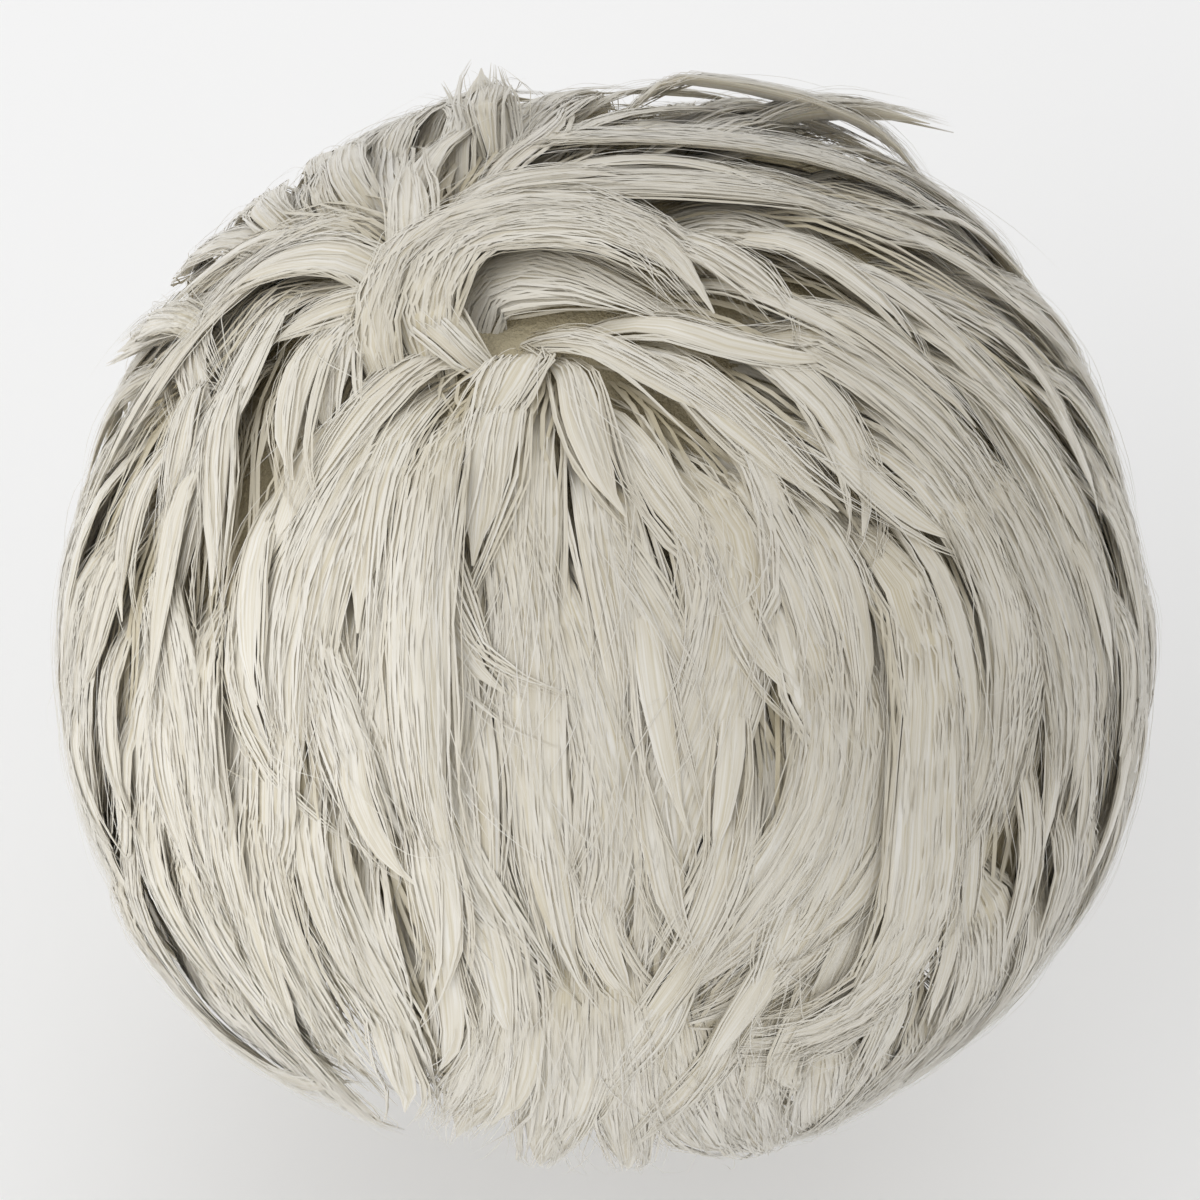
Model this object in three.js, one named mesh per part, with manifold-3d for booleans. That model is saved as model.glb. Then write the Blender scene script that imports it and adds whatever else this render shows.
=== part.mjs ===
// Short curly wig: a thin cap that is worn on the head, and the hair sewn to it in seven sections.
// Each section is one solid, a backing of packed hair with its locks fused to it.
// Millimetres, +Z up, the face side towards -Y, the wearer's left side towards +X.
// The origin is the inside of the crown, where the cap rests on the head.
import * as THREE from 'three';
import { mergeVertices } from 'three/addons/utils/BufferGeometryUtils.js';
import Module from 'manifold-3d';

const wasm = await Module();
wasm.setup();

// Inside of the cap, measured from the middle of the head at its widest level
const HEAD_HALF_WIDTH = 78;
const HEAD_FRONT = 98;
const HEAD_BACK = 94;
const CROWN_HEIGHT = 62;
const HEAD_DEPTH = 130;

// Cap
const CAP_WALL = 1.8;
const CAP_CLEARANCE = 0.5;

// How far the hair stands off the inside of the cap on each side
const TOP_VOLUME = 52;
const SIDE_VOLUME = 49;
const FRONT_VOLUME = 17;
const BACK_VOLUME = 52;

// How far the hair closes in below the widest level, in front and at the nape
const FRINGE_DROP = 106;
const NAPE_DROP = 150;

// The outline of the dressed hair is squarer than the head, and rounder in front below the widest level
const HAIR_POWER = 2.3;
const FRINGE_POWER = 2.05;
const ROUNDER_ONSET = 1.6;
const FRINGE_ONSET = 1.5;

// Locks
const LOCK_WIDTH = 34;
const LOCK_THICKNESS = 14;
const SECTION_CLEARANCE = 0.5;

// Shares of the depth of the hair: the backing that carries the locks, its hem, the roots of the locks,
// and the inside of the backing before the worn space is cut away
const BACKING_SHARE = 0.8;
const HEM_SHARE = 0.5;
const ROOT_SHARE = 0.6;
const SUNK_SHARE = -0.25;

// Borders of the sections, in degrees round from the face and down from the crown
const CROWN_BORDER = 22;
const FACE_BORDER = 42;
const EAR_BORDER = 112;
const BACK_BORDER = 66;
const NAPE_BORDER = 104;
const SIDE_HEM = 120;
const FRINGE_HEM = 98;
const NAPE_HEM = 142;
const BORDER_OVERLAP = 2;

const HAIR_COLOR = 0xd9d6c9;
const CAP_COLOR = 0xcfc8b4;

// Mesh fineness
const HEAD_SEGMENTS = 28;
const CAP_ROWS = 7;
const CROWN_SEGMENTS = 18;
const CROWN_ROWS = 3;
const BACKING_STEP_DEGREES = 12.5;
const LOCK_SIDES = 5;
const LOCK_RINGS = 6;

// Places on the head: azimuth in degrees from the face towards the wearer's left,
// polar in degrees from straight up, both seen from the middle of the head
const HEAD_MIDDLE = new THREE.Vector3(0, 0, -CROWN_HEIGHT);

function direction(azimuth, polar) {
  const a = THREE.MathUtils.degToRad(azimuth);
  const p = THREE.MathUtils.degToRad(polar);
  return new THREE.Vector3(Math.sin(p) * Math.sin(a), -Math.sin(p) * Math.cos(a), Math.cos(p));
}

// Distance from the middle to a rounded box of half sizes x, y and z; power 2 is an ellipsoid
function reach(ray, x, y, z, power) {
  const sum = Math.abs(ray.x / x) ** power + Math.abs(ray.y / y) ** power + Math.abs(ray.z / z) ** power;
  return sum ** (-1 / power);
}

function headReach(ray, offset) {
  const depth = ray.y < 0 ? HEAD_FRONT : HEAD_BACK;
  const height = ray.z > 0 ? CROWN_HEIGHT : HEAD_DEPTH;
  return reach(ray, HEAD_HALF_WIDTH + offset, depth + offset, height + offset, 2);
}

function hairReach(ray) {
  const frontness = 0.5 - 0.5 * ray.y / Math.hypot(ray.x, ray.y, 1e-9);
  const lowness = 0.5 - 0.5 * ray.z;
  const rounder = Math.min(1, ROUNDER_ONSET * frontness * lowness);
  const power = THREE.MathUtils.lerp(HAIR_POWER, FRINGE_POWER, rounder);
  const depth = ray.y < 0 ? HEAD_FRONT + FRONT_VOLUME : HEAD_BACK + BACK_VOLUME;
  const drop = THREE.MathUtils.lerp(NAPE_DROP, FRINGE_DROP, Math.min(1, FRINGE_ONSET * frontness));
  const height = ray.z > 0 ? CROWN_HEIGHT + TOP_VOLUME : drop;
  return reach(ray, HEAD_HALF_WIDTH + SIDE_VOLUME, depth, height, power);
}

function headPoint(azimuth, polar, offset) {
  const ray = direction(azimuth, polar);
  return ray.multiplyScalar(headReach(ray, offset)).add(HEAD_MIDDLE);
}

// Lift 0 is the outside of the cap and lift 1 the outline of the dressed hair
function hairPoint(azimuth, polar, lift, grow = 0) {
  const ray = direction(azimuth, polar);
  const inner = headReach(ray, CAP_WALL);
  return ray.clone().multiplyScalar(inner + (hairReach(ray) - inner) * lift + grow).add(HEAD_MIDDLE);
}

function hairDepth(azimuth, polar) {
  const ray = direction(azimuth, polar);
  return hairReach(ray) - headReach(ray, CAP_WALL);
}

// Edge of the cap: low in front of and behind the ear, cut up over it, lowest at the nape
const CAP_EDGE = [
  { azimuth: 0, polar: 84 },
  { azimuth: 45, polar: 88 },
  { azimuth: 72, polar: 116 },
  { azimuth: 96, polar: 101 },
  { azimuth: 120, polar: 124 },
  { azimuth: 150, polar: 142 },
  { azimuth: 180, polar: 148 },
];

// Lower edge of the packed hair, above the free tips of the locks, and the stretch over which it thins
const HEM_TAPER_DEGREES = 20;
const HAIR_EDGE = [
  { azimuth: 0, polar: 98 },
  { azimuth: 45, polar: 98 },
  { azimuth: 75, polar: 106 },
  { azimuth: 110, polar: 120 },
  { azimuth: 150, polar: 138 },
  { azimuth: 180, polar: 142 },
];

function edgePolar(table, azimuth) {
  const turn = Math.abs(THREE.MathUtils.euclideanModulo(azimuth + 180, 360) - 180);
  const next = Math.max(1, table.findIndex((row) => row.azimuth >= turn));
  const low = table[next - 1];
  const high = table[next];
  const share = THREE.MathUtils.smoothstep(turn, low.azimuth, high.azimuth);
  return THREE.MathUtils.lerp(low.polar, high.polar, share);
}

// Solids

function solidOf(geometry, moveVertex) {
  const bare = geometry.clone();
  bare.deleteAttribute('normal');
  bare.deleteAttribute('uv');
  const points = bare.attributes.position;
  for (let i = 0; i < points.count; i++) {
    const moved = moveVertex(new THREE.Vector3().fromBufferAttribute(points, i));
    points.setXYZ(i, moved.x, moved.y, moved.z);
  }
  const merged = mergeVertices(bare, 1e-3);
  return new wasm.Manifold(new wasm.Mesh({
    numProp: 3,
    vertProperties: new Float32Array(merged.attributes.position.array),
    triVerts: new Uint32Array(merged.index.array),
  }));
}

function largestBody(solid) {
  return solid.decompose().reduce((best, body) => (body.volume() > best.volume() ? body : best));
}

// A round skin folded over at its lower edge: the upper rows are its outside and the lower rows its
// inside, so one sphere becomes a closed wall. place(azimuth, share, outside) gives each vertex.
function foldedSkin(segments, rows, place) {
  const height = 2 * rows + 1;
  return solidOf(new THREE.SphereGeometry(1, segments, height), (point) => {
    const row = Math.round(Math.acos(THREE.MathUtils.clamp(point.y, -1, 1)) / Math.PI * height);
    const azimuth = THREE.MathUtils.radToDeg(Math.atan2(point.x, point.z));
    return place(azimuth, Math.min(row, height - row) / rows, row <= rows);
  });
}

function capSolid() {
  return foldedSkin(HEAD_SEGMENTS, CAP_ROWS, (azimuth, share, outside) =>
    headPoint(azimuth, share * edgePolar(CAP_EDGE, azimuth), outside ? CAP_WALL : 0));
}

// The head space with the cap on it, which all hair keeps clear of. Its facets follow the cap's.
function wornSpace() {
  const rows = 2 * CAP_ROWS;
  return solidOf(new THREE.SphereGeometry(1, HEAD_SEGMENTS, rows), (point) => {
    const row = Math.round(Math.acos(THREE.MathUtils.clamp(point.y, -1, 1)) / Math.PI * rows);
    const azimuth = THREE.MathUtils.radToDeg(Math.atan2(point.x, point.z));
    const edge = edgePolar(CAP_EDGE, azimuth);
    const polar = row <= CAP_ROWS ? row / CAP_ROWS * edge
      : THREE.MathUtils.lerp(edge, 180, row / CAP_ROWS - 1);
    return headPoint(azimuth, polar, CAP_WALL + CAP_CLEARANCE);
  });
}

// Packed hair over a stretch of the head, from inside the worn space, which is cut away later, out to
// the backing's lift
function backingSolid(area, grow) {
  const spread = grow / HEAD_HALF_WIDTH * 180 / Math.PI;
  if (area.pole) {
    return foldedSkin(CROWN_SEGMENTS, CROWN_ROWS, (azimuth, share, outside) => {
      const lift = outside ? BACKING_SHARE : SUNK_SHARE;
      return hairPoint(azimuth, share * (area.bottom + spread), lift, outside ? grow : 0);
    });
  }
  const columns = Math.round((area.right - area.left) / BACKING_STEP_DEGREES);
  const rows = Math.round((area.bottom - area.top) / BACKING_STEP_DEGREES);
  return solidOf(new THREE.BoxGeometry(1, 1, 1, columns, rows, 1), (point) => {
    const azimuth = THREE.MathUtils.lerp(area.left - spread, area.right + spread, point.x + 0.5);
    const bottom = Math.min(area.bottom, edgePolar(HAIR_EDGE, azimuth)) + spread;
    const polar = THREE.MathUtils.lerp(bottom, area.top - spread, point.y + 0.5);
    const hem = edgePolar(HAIR_EDGE, azimuth);
    const thinning = THREE.MathUtils.smoothstep(polar, hem - HEM_TAPER_DEGREES, hem);
    const lift = THREE.MathUtils.lerp(BACKING_SHARE, HEM_SHARE, thinning);
    return hairPoint(azimuth, polar, point.z > 0 ? lift : SUNK_SHARE, point.z > 0 ? grow : 0);
  });
}

// The head unrolled to a flat map, so that a lock can cross the crown: across to the wearer's left,
// along to the back, both in degrees
function toMap(azimuth, polar) {
  const a = THREE.MathUtils.degToRad(azimuth);
  return new THREE.Vector2(polar * Math.sin(a), -polar * Math.cos(a));
}

function fromMap(spot) {
  return { azimuth: THREE.MathUtils.radToDeg(Math.atan2(spot.x, -spot.y)), polar: spot.length() };
}

// A bow is the sideways bulge near the root and near the tip, as a share of the lock's length;
// on a lock that falls over the face a positive bow goes to the wearer's left
function lockPath(lock) {
  const start = toMap(lock.azimuth, lock.polar);
  const end = toMap(lock.endAzimuth, lock.endPolar);
  const run = end.clone().sub(start);
  const side = new THREE.Vector2(-run.y, run.x);
  const first = start.clone().addScaledVector(run, 1 / 3).addScaledVector(side, lock.bowRoot);
  const second = start.clone().addScaledVector(run, 2 / 3).addScaledVector(side, lock.bowTip);
  const map = new THREE.CubicBezierCurve(start, first, second, end);
  const lift = new THREE.CubicBezierCurve(
    new THREE.Vector2(0, ROOT_SHARE), new THREE.Vector2(1 / 3, lock.lift),
    new THREE.Vector2(2 / 3, lock.lift), new THREE.Vector2(1, lock.tipLift));
  return (share) => {
    const { azimuth, polar } = fromMap(map.getPoint(share));
    return { azimuth, polar, point: hairPoint(azimuth, polar, lift.getPoint(share).y) };
  };
}

// Fullness of a lock along its length
const LOCK_FULLNESS = [
  { share: 0, size: 0.45 },
  { share: 0.3, size: 0.95 },
  { share: 0.6, size: 1 },
  { share: 0.85, size: 0.62 },
  { share: 1, size: 0.12 },
];

function fullness(share) {
  const next = Math.max(1, LOCK_FULLNESS.findIndex((row) => row.share >= share));
  const low = LOCK_FULLNESS[next - 1];
  const high = LOCK_FULLNESS[next];
  return THREE.MathUtils.lerp(low.size, high.size, THREE.MathUtils.smoothstep(share, low.share, high.share));
}

function lockSolid(lock, grow) {
  const path = lockPath(lock);
  return solidOf(new THREE.CylinderGeometry(1, 1, 1, LOCK_SIDES, LOCK_RINGS), (vertex) => {
    const share = THREE.MathUtils.clamp(vertex.y + 0.5, 0, 1);
    const here = path(share);
    const ahead = path(Math.min(1, share + 0.01)).point;
    const tangent = ahead.sub(path(Math.max(0, share - 0.01)).point).normalize();
    const outward = direction(here.azimuth, here.polar);
    const side = tangent.clone().cross(outward).normalize();
    outward.copy(side).cross(tangent);
    const crowding = Math.sqrt(Math.min(1, hairDepth(here.azimuth, here.polar) / SIDE_VOLUME));
    const width = LOCK_WIDTH * lock.width * fullness(share) / 2 + grow;
    const thickness = LOCK_THICKNESS * crowding * fullness(share) / 2 + grow;
    return here.point.addScaledVector(side, vertex.x * width).addScaledVector(outward, vertex.z * thickness);
  });
}

// Sections of hair, from the outermost inwards. Lock rows: where the root and the tip are, the bows,
// the width as a share of LOCK_WIDTH, and how far the middle and the tip stand off.
const LOCK_COLUMNS = ['azimuth', 'polar', 'endAzimuth', 'endPolar', 'bowRoot', 'bowTip',
  'width', 'lift', 'tipLift'];

function locks(...rows) {
  return rows.map((row) => Object.fromEntries(LOCK_COLUMNS.map((name, i) => [name, row[i]])));
}

// A row of falling locks side by side where the hair is the same all along; the bows take turns
const TURNS = [
  { bowRoot: 0.2, bowTip: -0.16, drop: 0, width: 1.35 },
  { bowRoot: -0.12, bowTip: 0.2, drop: 6, width: 1.15 },
  { bowRoot: 0.24, bowTip: 0.06, drop: -3, width: 1.3 },
  { bowRoot: -0.18, bowTip: -0.1, drop: 4, width: 1.2 },
];

function fallingLocks({ count, left, right, top, bottom, lean, lift, tipLift }) {
  return Array.from({ length: count }, (_, i) => {
    const turn = TURNS[i % TURNS.length];
    const azimuth = THREE.MathUtils.lerp(left, right, (i + 0.5) / count);
    return { ...turn, azimuth, polar: top + turn.drop / 2, endAzimuth: azimuth + lean,
      endPolar: bottom + turn.drop, lift, tipLift };
  });
}

const SECTIONS = [
  {
    name: 'crown_hair',
    area: { pole: true, bottom: CROWN_BORDER },
    locks: locks(
      [-52, 22, 96, 11, 1.0, 0.42, 0.75, 1.04, 0.98],
      [150, 3, 78, 38, 0.3, 0.05, 0.95, 0.95, 0.9],
      [60, 3, 44, 36, 0.2, 0.12, 0.85, 0.95, 0.88],
      [-40, 10, -9, 54, -0.12, -0.05, 0.8, 0.98, 0.88],
      [8, 10, 10, 54, 0.42, 0.1, 0.7, 1.02, 0.88],
      [-100, 16, -62, 34, -0.34, -0.12, 0.85, 0.95, 0.92],
      [-140, 22, -76, 42, -0.7, -0.72, 0.95, 0.97, 0.92],
      [-165, 20, 118, 34, 0.3, 0.2, 1.1, 0.95, 0.92],
    ),
  },
  {
    name: 'fringe_hair',
    area: { left: -FACE_BORDER, right: FACE_BORDER, top: CROWN_BORDER - BORDER_OVERLAP, bottom: FRINGE_HEM },
    locks: locks(
      [2, 34, 2, 92, -0.02, 0.02, 0.95, 0.98, 0.9],
      [-16, 32, -5, 96, 0.05, 0.04, 0.9, 0.94, 0.9],
      [25, 25, 3, 81, 0.36, 0.38, 0.75, 1.0, 0.95],
      [36, 33, 5, 83, 0.22, 0.52, 0.75, 1.0, 0.98],
      [35, 56, 8, 85, 0.56, 0.62, 0.6, 1.12, 1.05],
      [-34, 36, -4, 84, 0.06, 0.0, 0.8, 0.98, 0.92],
      [-36, 50, -17, 108, 0.02, 0.08, 0.95, 0.97, 0.75],
      [-2, 76, -9, 116, 0.04, -0.06, 0.55, 1.0, 0.55],
      [1, 76, 13, 113, 0.2, 0.16, 0.5, 1.05, 0.7],
      [20, 62, 20, 108, 0.06, 0.02, 0.85, 0.85, 0.6],
    ),
  },
  {
    name: 'left_hair',
    area: { left: FACE_BORDER, right: EAR_BORDER, top: CROWN_BORDER, bottom: SIDE_HEM },
    locks: locks(
      [50, 24, 36, 66, 0.3, 0.16, 0.85, 1.0, 0.95],
      [74, 28, 45, 74, 0.16, 0.14, 0.9, 1.0, 0.95],
      [86, 32, 52, 86, 0.14, 0.18, 0.95, 1.0, 0.95],
      [102, 34, 62, 92, 0.1, 0.14, 1.05, 1.0, 0.95],
      [112, 44, 70, 108, 0.14, 0.1, 1.05, 1.0, 0.95],
      [112, 62, 86, 122, 0.12, -0.06, 1.1, 1.0, 0.95],
      [44, 66, 44, 110, 0.1, -0.06, 0.8, 1.0, 0.95],
      [58, 76, 50, 115, 0.12, 0.1, 0.9, 1.02, 1.0],
      [104, 88, 98, 130, 0.1, -0.1, 1.0, 0.98, 1.0],
    ),
  },
  {
    name: 'right_hair',
    area: { left: -EAR_BORDER, right: -FACE_BORDER, top: CROWN_BORDER, bottom: SIDE_HEM },
    locks: locks(
      [-72, 20, -36, 64, -0.06, 0.1, 0.9, 0.97, 0.92],
      [-56, 28, -27, 70, 0.02, 0.04, 0.8, 1.0, 0.95],
      [-84, 46, -50, 88, 0.22, -0.1, 0.95, 1.0, 0.95],
      [-66, 42, -40, 84, 0.02, -0.06, 0.9, 1.0, 0.95],
      [-100, 42, -64, 98, -0.02, -0.1, 1.05, 1.0, 0.98],
      [-114, 50, -76, 106, -0.12, -0.08, 1.1, 1.0, 1.0],
      [-46, 62, -31, 104, 0.0, -0.1, 0.9, 0.98, 0.9],
      [-62, 78, -31, 103, -0.3, -0.42, 0.85, 1.08, 1.05],
      [-80, 80, -54, 110, -0.2, -0.24, 0.9, 1.04, 1.05],
      [-104, 78, -94, 126, -0.08, 0.1, 1.05, 0.98, 1.02],
    ),
  },
  {
    name: 'upper_back_hair',
    area: { left: EAR_BORDER, right: 360 - EAR_BORDER, top: CROWN_BORDER - BORDER_OVERLAP,
      bottom: BACK_BORDER },
    locks: locks(
      [-114, 26, -146, 64, 0.2, -0.1, 1.2, 0.98, 0.96],
      [-144, 28, 180, 60, 0.3, 0.1, 1.3, 0.98, 0.96],
      [-172, 30, 152, 64, 0.26, 0.1, 1.3, 0.98, 0.96],
      [172, 42, 138, 55, 0.22, 0.16, 0.6, 1.14, 1.3],
      [162, 26, 126, 62, 0.2, -0.08, 1.1, 0.98, 0.96],
      [136, 26, 108, 62, 0.16, -0.12, 1.1, 0.98, 0.96],
      [-160, 34, -164, 46, 0.1, 0.1, 0.4, 1.1, 1.26],
      [-122, 50, -112, 66, 0.2, 0.3, 0.5, 1.06, 1.16],
    ),
  },
  {
    name: 'back_hair',
    area: { left: EAR_BORDER, right: 360 - EAR_BORDER, top: BACK_BORDER, bottom: NAPE_BORDER },
    locks: fallingLocks({ count: 7, left: EAR_BORDER, right: 360 - EAR_BORDER, top: 54, bottom: 108,
      lean: 5, lift: 0.98, tipLift: 0.96 }),
  },
  {
    name: 'nape_hair',
    area: { left: EAR_BORDER, right: 360 - EAR_BORDER, top: NAPE_BORDER, bottom: NAPE_HEM },
    locks: fallingLocks({ count: 7, left: 116, right: 244, top: 92, bottom: 146, lean: -4,
      lift: 0.96, tipLift: 0.86 }),
  },
];

function sectionSolid(section, grow) {
  const parts = section.locks.map((lock) => lockSolid(lock, grow));
  return parts.reduce((sum, lock) => sum.add(lock), backingSolid(section.area, grow));
}

// The object

function material(name, color, roughness) {
  return new THREE.MeshStandardMaterial({ name, color, roughness, metalness: 0 });
}

function meshOf(name, solid, finish) {
  const { vertProperties, triVerts } = solid.getMesh();
  const geometry = new THREE.BufferGeometry();
  geometry.setAttribute('position', new THREE.BufferAttribute(vertProperties, 3));
  geometry.setIndex(new THREE.BufferAttribute(triVerts, 1));
  geometry.computeVertexNormals();
  const mesh = new THREE.Mesh(geometry, finish);
  mesh.name = name;
  return mesh;
}

const wig = new THREE.Group();
const hairFinish = material('hair', HAIR_COLOR, 0.4);
wig.add(meshOf('cap', capSolid(), material('cap', CAP_COLOR, 0.9)));

// Each section lies under the ones before it and keeps clear of them
let covered = wornSpace();
for (const section of SECTIONS) {
  const hair = largestBody(sectionSolid(section, 0).subtract(covered));
  wig.add(meshOf(section.name, hair, hairFinish));
  covered = covered.add(sectionSolid(section, SECTION_CLEARANCE));
}

export default wig;
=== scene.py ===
# Short curly wig, dressed: a sewn net cap and seven sections of silky platinum hair. Each section has
# a packed backing, the bodies of its locks and wisps, and the ribbons and fine strands that are combed
# along them. Metres, +Z up, face towards -Y.
import math
from collections import namedtuple

import bpy
import numpy as np
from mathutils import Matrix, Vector


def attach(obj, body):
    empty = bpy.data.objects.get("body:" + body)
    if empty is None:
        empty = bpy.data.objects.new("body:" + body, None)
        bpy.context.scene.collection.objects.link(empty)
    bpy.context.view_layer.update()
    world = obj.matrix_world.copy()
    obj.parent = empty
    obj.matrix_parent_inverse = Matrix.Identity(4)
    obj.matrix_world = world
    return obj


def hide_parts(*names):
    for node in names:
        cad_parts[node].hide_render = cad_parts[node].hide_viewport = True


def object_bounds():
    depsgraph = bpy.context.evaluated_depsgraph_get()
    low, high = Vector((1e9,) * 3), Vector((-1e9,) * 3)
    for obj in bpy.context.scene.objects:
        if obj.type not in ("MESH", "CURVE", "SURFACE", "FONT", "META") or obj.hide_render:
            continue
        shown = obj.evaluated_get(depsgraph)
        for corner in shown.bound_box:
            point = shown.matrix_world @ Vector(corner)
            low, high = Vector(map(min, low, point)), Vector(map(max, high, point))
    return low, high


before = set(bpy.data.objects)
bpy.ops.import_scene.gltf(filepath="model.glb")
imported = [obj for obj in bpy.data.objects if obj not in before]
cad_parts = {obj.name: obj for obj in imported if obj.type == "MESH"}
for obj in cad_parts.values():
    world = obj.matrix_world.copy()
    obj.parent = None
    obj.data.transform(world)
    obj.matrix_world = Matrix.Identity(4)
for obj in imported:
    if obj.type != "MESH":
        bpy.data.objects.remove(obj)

bl_info = {
    "name": "Short Curly Wig",
    "version": (1, 0, 0),
    "blender": (4, 5, 0),
    "location": "3D View > Sidebar > Wig",
    "description": "Dresses the solids of a short curly wig with a sewn cap and strands of hair",
    "category": "Add Mesh",
}

CAD_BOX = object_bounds()
MM = 0.001


# Sizes and colours

class WigSizes(bpy.types.PropertyGroup):
    """Sizes of the head, the cap and the dressed hair"""
    head_half_width: bpy.props.FloatProperty(
        name="Head half width", description="Inside of the cap, middle to side",
        default=0.078, unit="LENGTH")
    head_front: bpy.props.FloatProperty(
        name="Head front", description="Inside of the cap, middle to forehead", default=0.098, unit="LENGTH")
    head_back: bpy.props.FloatProperty(
        name="Head back", description="Inside of the cap, middle to back", default=0.094, unit="LENGTH")
    crown_height: bpy.props.FloatProperty(
        name="Crown height", description="Crown above the widest level of the head",
        default=0.062, unit="LENGTH")
    head_depth: bpy.props.FloatProperty(
        name="Head depth", description="Head below its widest level", default=0.13, unit="LENGTH")
    cap_wall: bpy.props.FloatProperty(
        name="Cap wall", description="Thickness of the cap", default=0.0018, unit="LENGTH")
    top_volume: bpy.props.FloatProperty(
        name="Top volume", description="How far the hair stands off the crown", default=0.052, unit="LENGTH")
    side_volume: bpy.props.FloatProperty(
        name="Side volume", description="How far the hair stands off the sides",
        default=0.049, unit="LENGTH")
    front_volume: bpy.props.FloatProperty(
        name="Front volume", description="How far the hair stands off the forehead",
        default=0.017, unit="LENGTH")
    back_volume: bpy.props.FloatProperty(
        name="Back volume", description="How far the hair stands off the back", default=0.052, unit="LENGTH")
    fringe_drop: bpy.props.FloatProperty(
        name="Fringe drop", description="Depth at which the hair closes in front",
        default=0.106, unit="LENGTH")
    nape_drop: bpy.props.FloatProperty(
        name="Nape drop", description="Depth at which the hair closes at the nape",
        default=0.15, unit="LENGTH")
    lock_width: bpy.props.FloatProperty(
        name="Lock width", description="Width of a full lock", default=0.034, unit="LENGTH")
    lock_thickness: bpy.props.FloatProperty(
        name="Lock thickness", description="Thickness of a full lock", default=0.0065, unit="LENGTH")
    ribbon_width: bpy.props.FloatProperty(
        name="Ribbon width", description="Width of a ribbon of combed fibres", default=0.0009, unit="LENGTH")
    strand_width: bpy.props.FloatProperty(
        name="Strand width", description="Width of one fine strand", default=0.00026, unit="LENGTH")


class WigColors(bpy.types.PropertyGroup):
    """Colours of the hair, the cap and the studio"""
    hair_light: bpy.props.FloatVectorProperty(
        name="Hair light", description="Cool platinum of the outer strands", subtype="COLOR",
        default=(0.84, 0.82, 0.77), min=0.0, max=1.0)
    hair_warm: bpy.props.FloatVectorProperty(
        name="Hair warm", description="Ivory of the warmer strands", subtype="COLOR",
        default=(0.78, 0.745, 0.66), min=0.0, max=1.0)
    # Painted shade: this khaki stands in for the shade deep in the hair, at the roots and on the flanks of
    # locks, and colours the backing
    hair_painted_shade: bpy.props.FloatVectorProperty(
        name="Hair deep", description="Khaki of the packed hair underneath", subtype="COLOR",
        default=(0.56, 0.49, 0.33), min=0.0, max=1.0)
    cap_net: bpy.props.FloatVectorProperty(
        name="Cap net", description="Beige of the elastic net", subtype="COLOR",
        default=(0.62, 0.56, 0.45), min=0.0, max=1.0)
    floor: bpy.props.FloatVectorProperty(
        name="Floor", description="Pale studio floor", subtype="COLOR",
        default=(0.95, 0.95, 0.95), min=0.0, max=1.0)


# Places on the head: azimuth in degrees from the face towards the wearer's left, polar in degrees
# from straight up, both seen from the middle of the head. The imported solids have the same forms.
HAIR_POWER = 2.3
FRINGE_POWER = 2.05
ROUNDER_ONSET = 1.6
FRINGE_ONSET = 1.5
BACKING_SHARE = 0.92
HEM_SHARE = 0.5
ROOT_SHARE = 0.6
HEM_TAPER = 20
HEM_FLICK = 8 * MM
HEM_FLICK_REACH = 18
FACE_REACH = (15, 45)
CAP_CLEARANCE = 0.5 * MM

# azimuth, polar
CAP_EDGE = ((0, 84), (45, 88), (72, 116), (96, 101), (120, 124), (150, 142), (180, 148))
HAIR_EDGE = ((0, 98), (45, 98), (75, 106), (110, 120), (150, 138), (180, 142))

# Reach of each section in degrees
Area = namedtuple("Area", "left right top bottom")
AREAS = {
    "crown_hair": Area(-180, 180, 0, 22),
    "fringe_hair": Area(-42, 42, 20, 98),
    "left_hair": Area(42, 112, 22, 120),
    "right_hair": Area(-112, -42, 22, 120),
    "upper_back_hair": Area(112, 248, 20, 66),
    "back_hair": Area(112, 248, 66, 104),
    "nape_hair": Area(112, 248, 104, 142),
}

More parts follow.
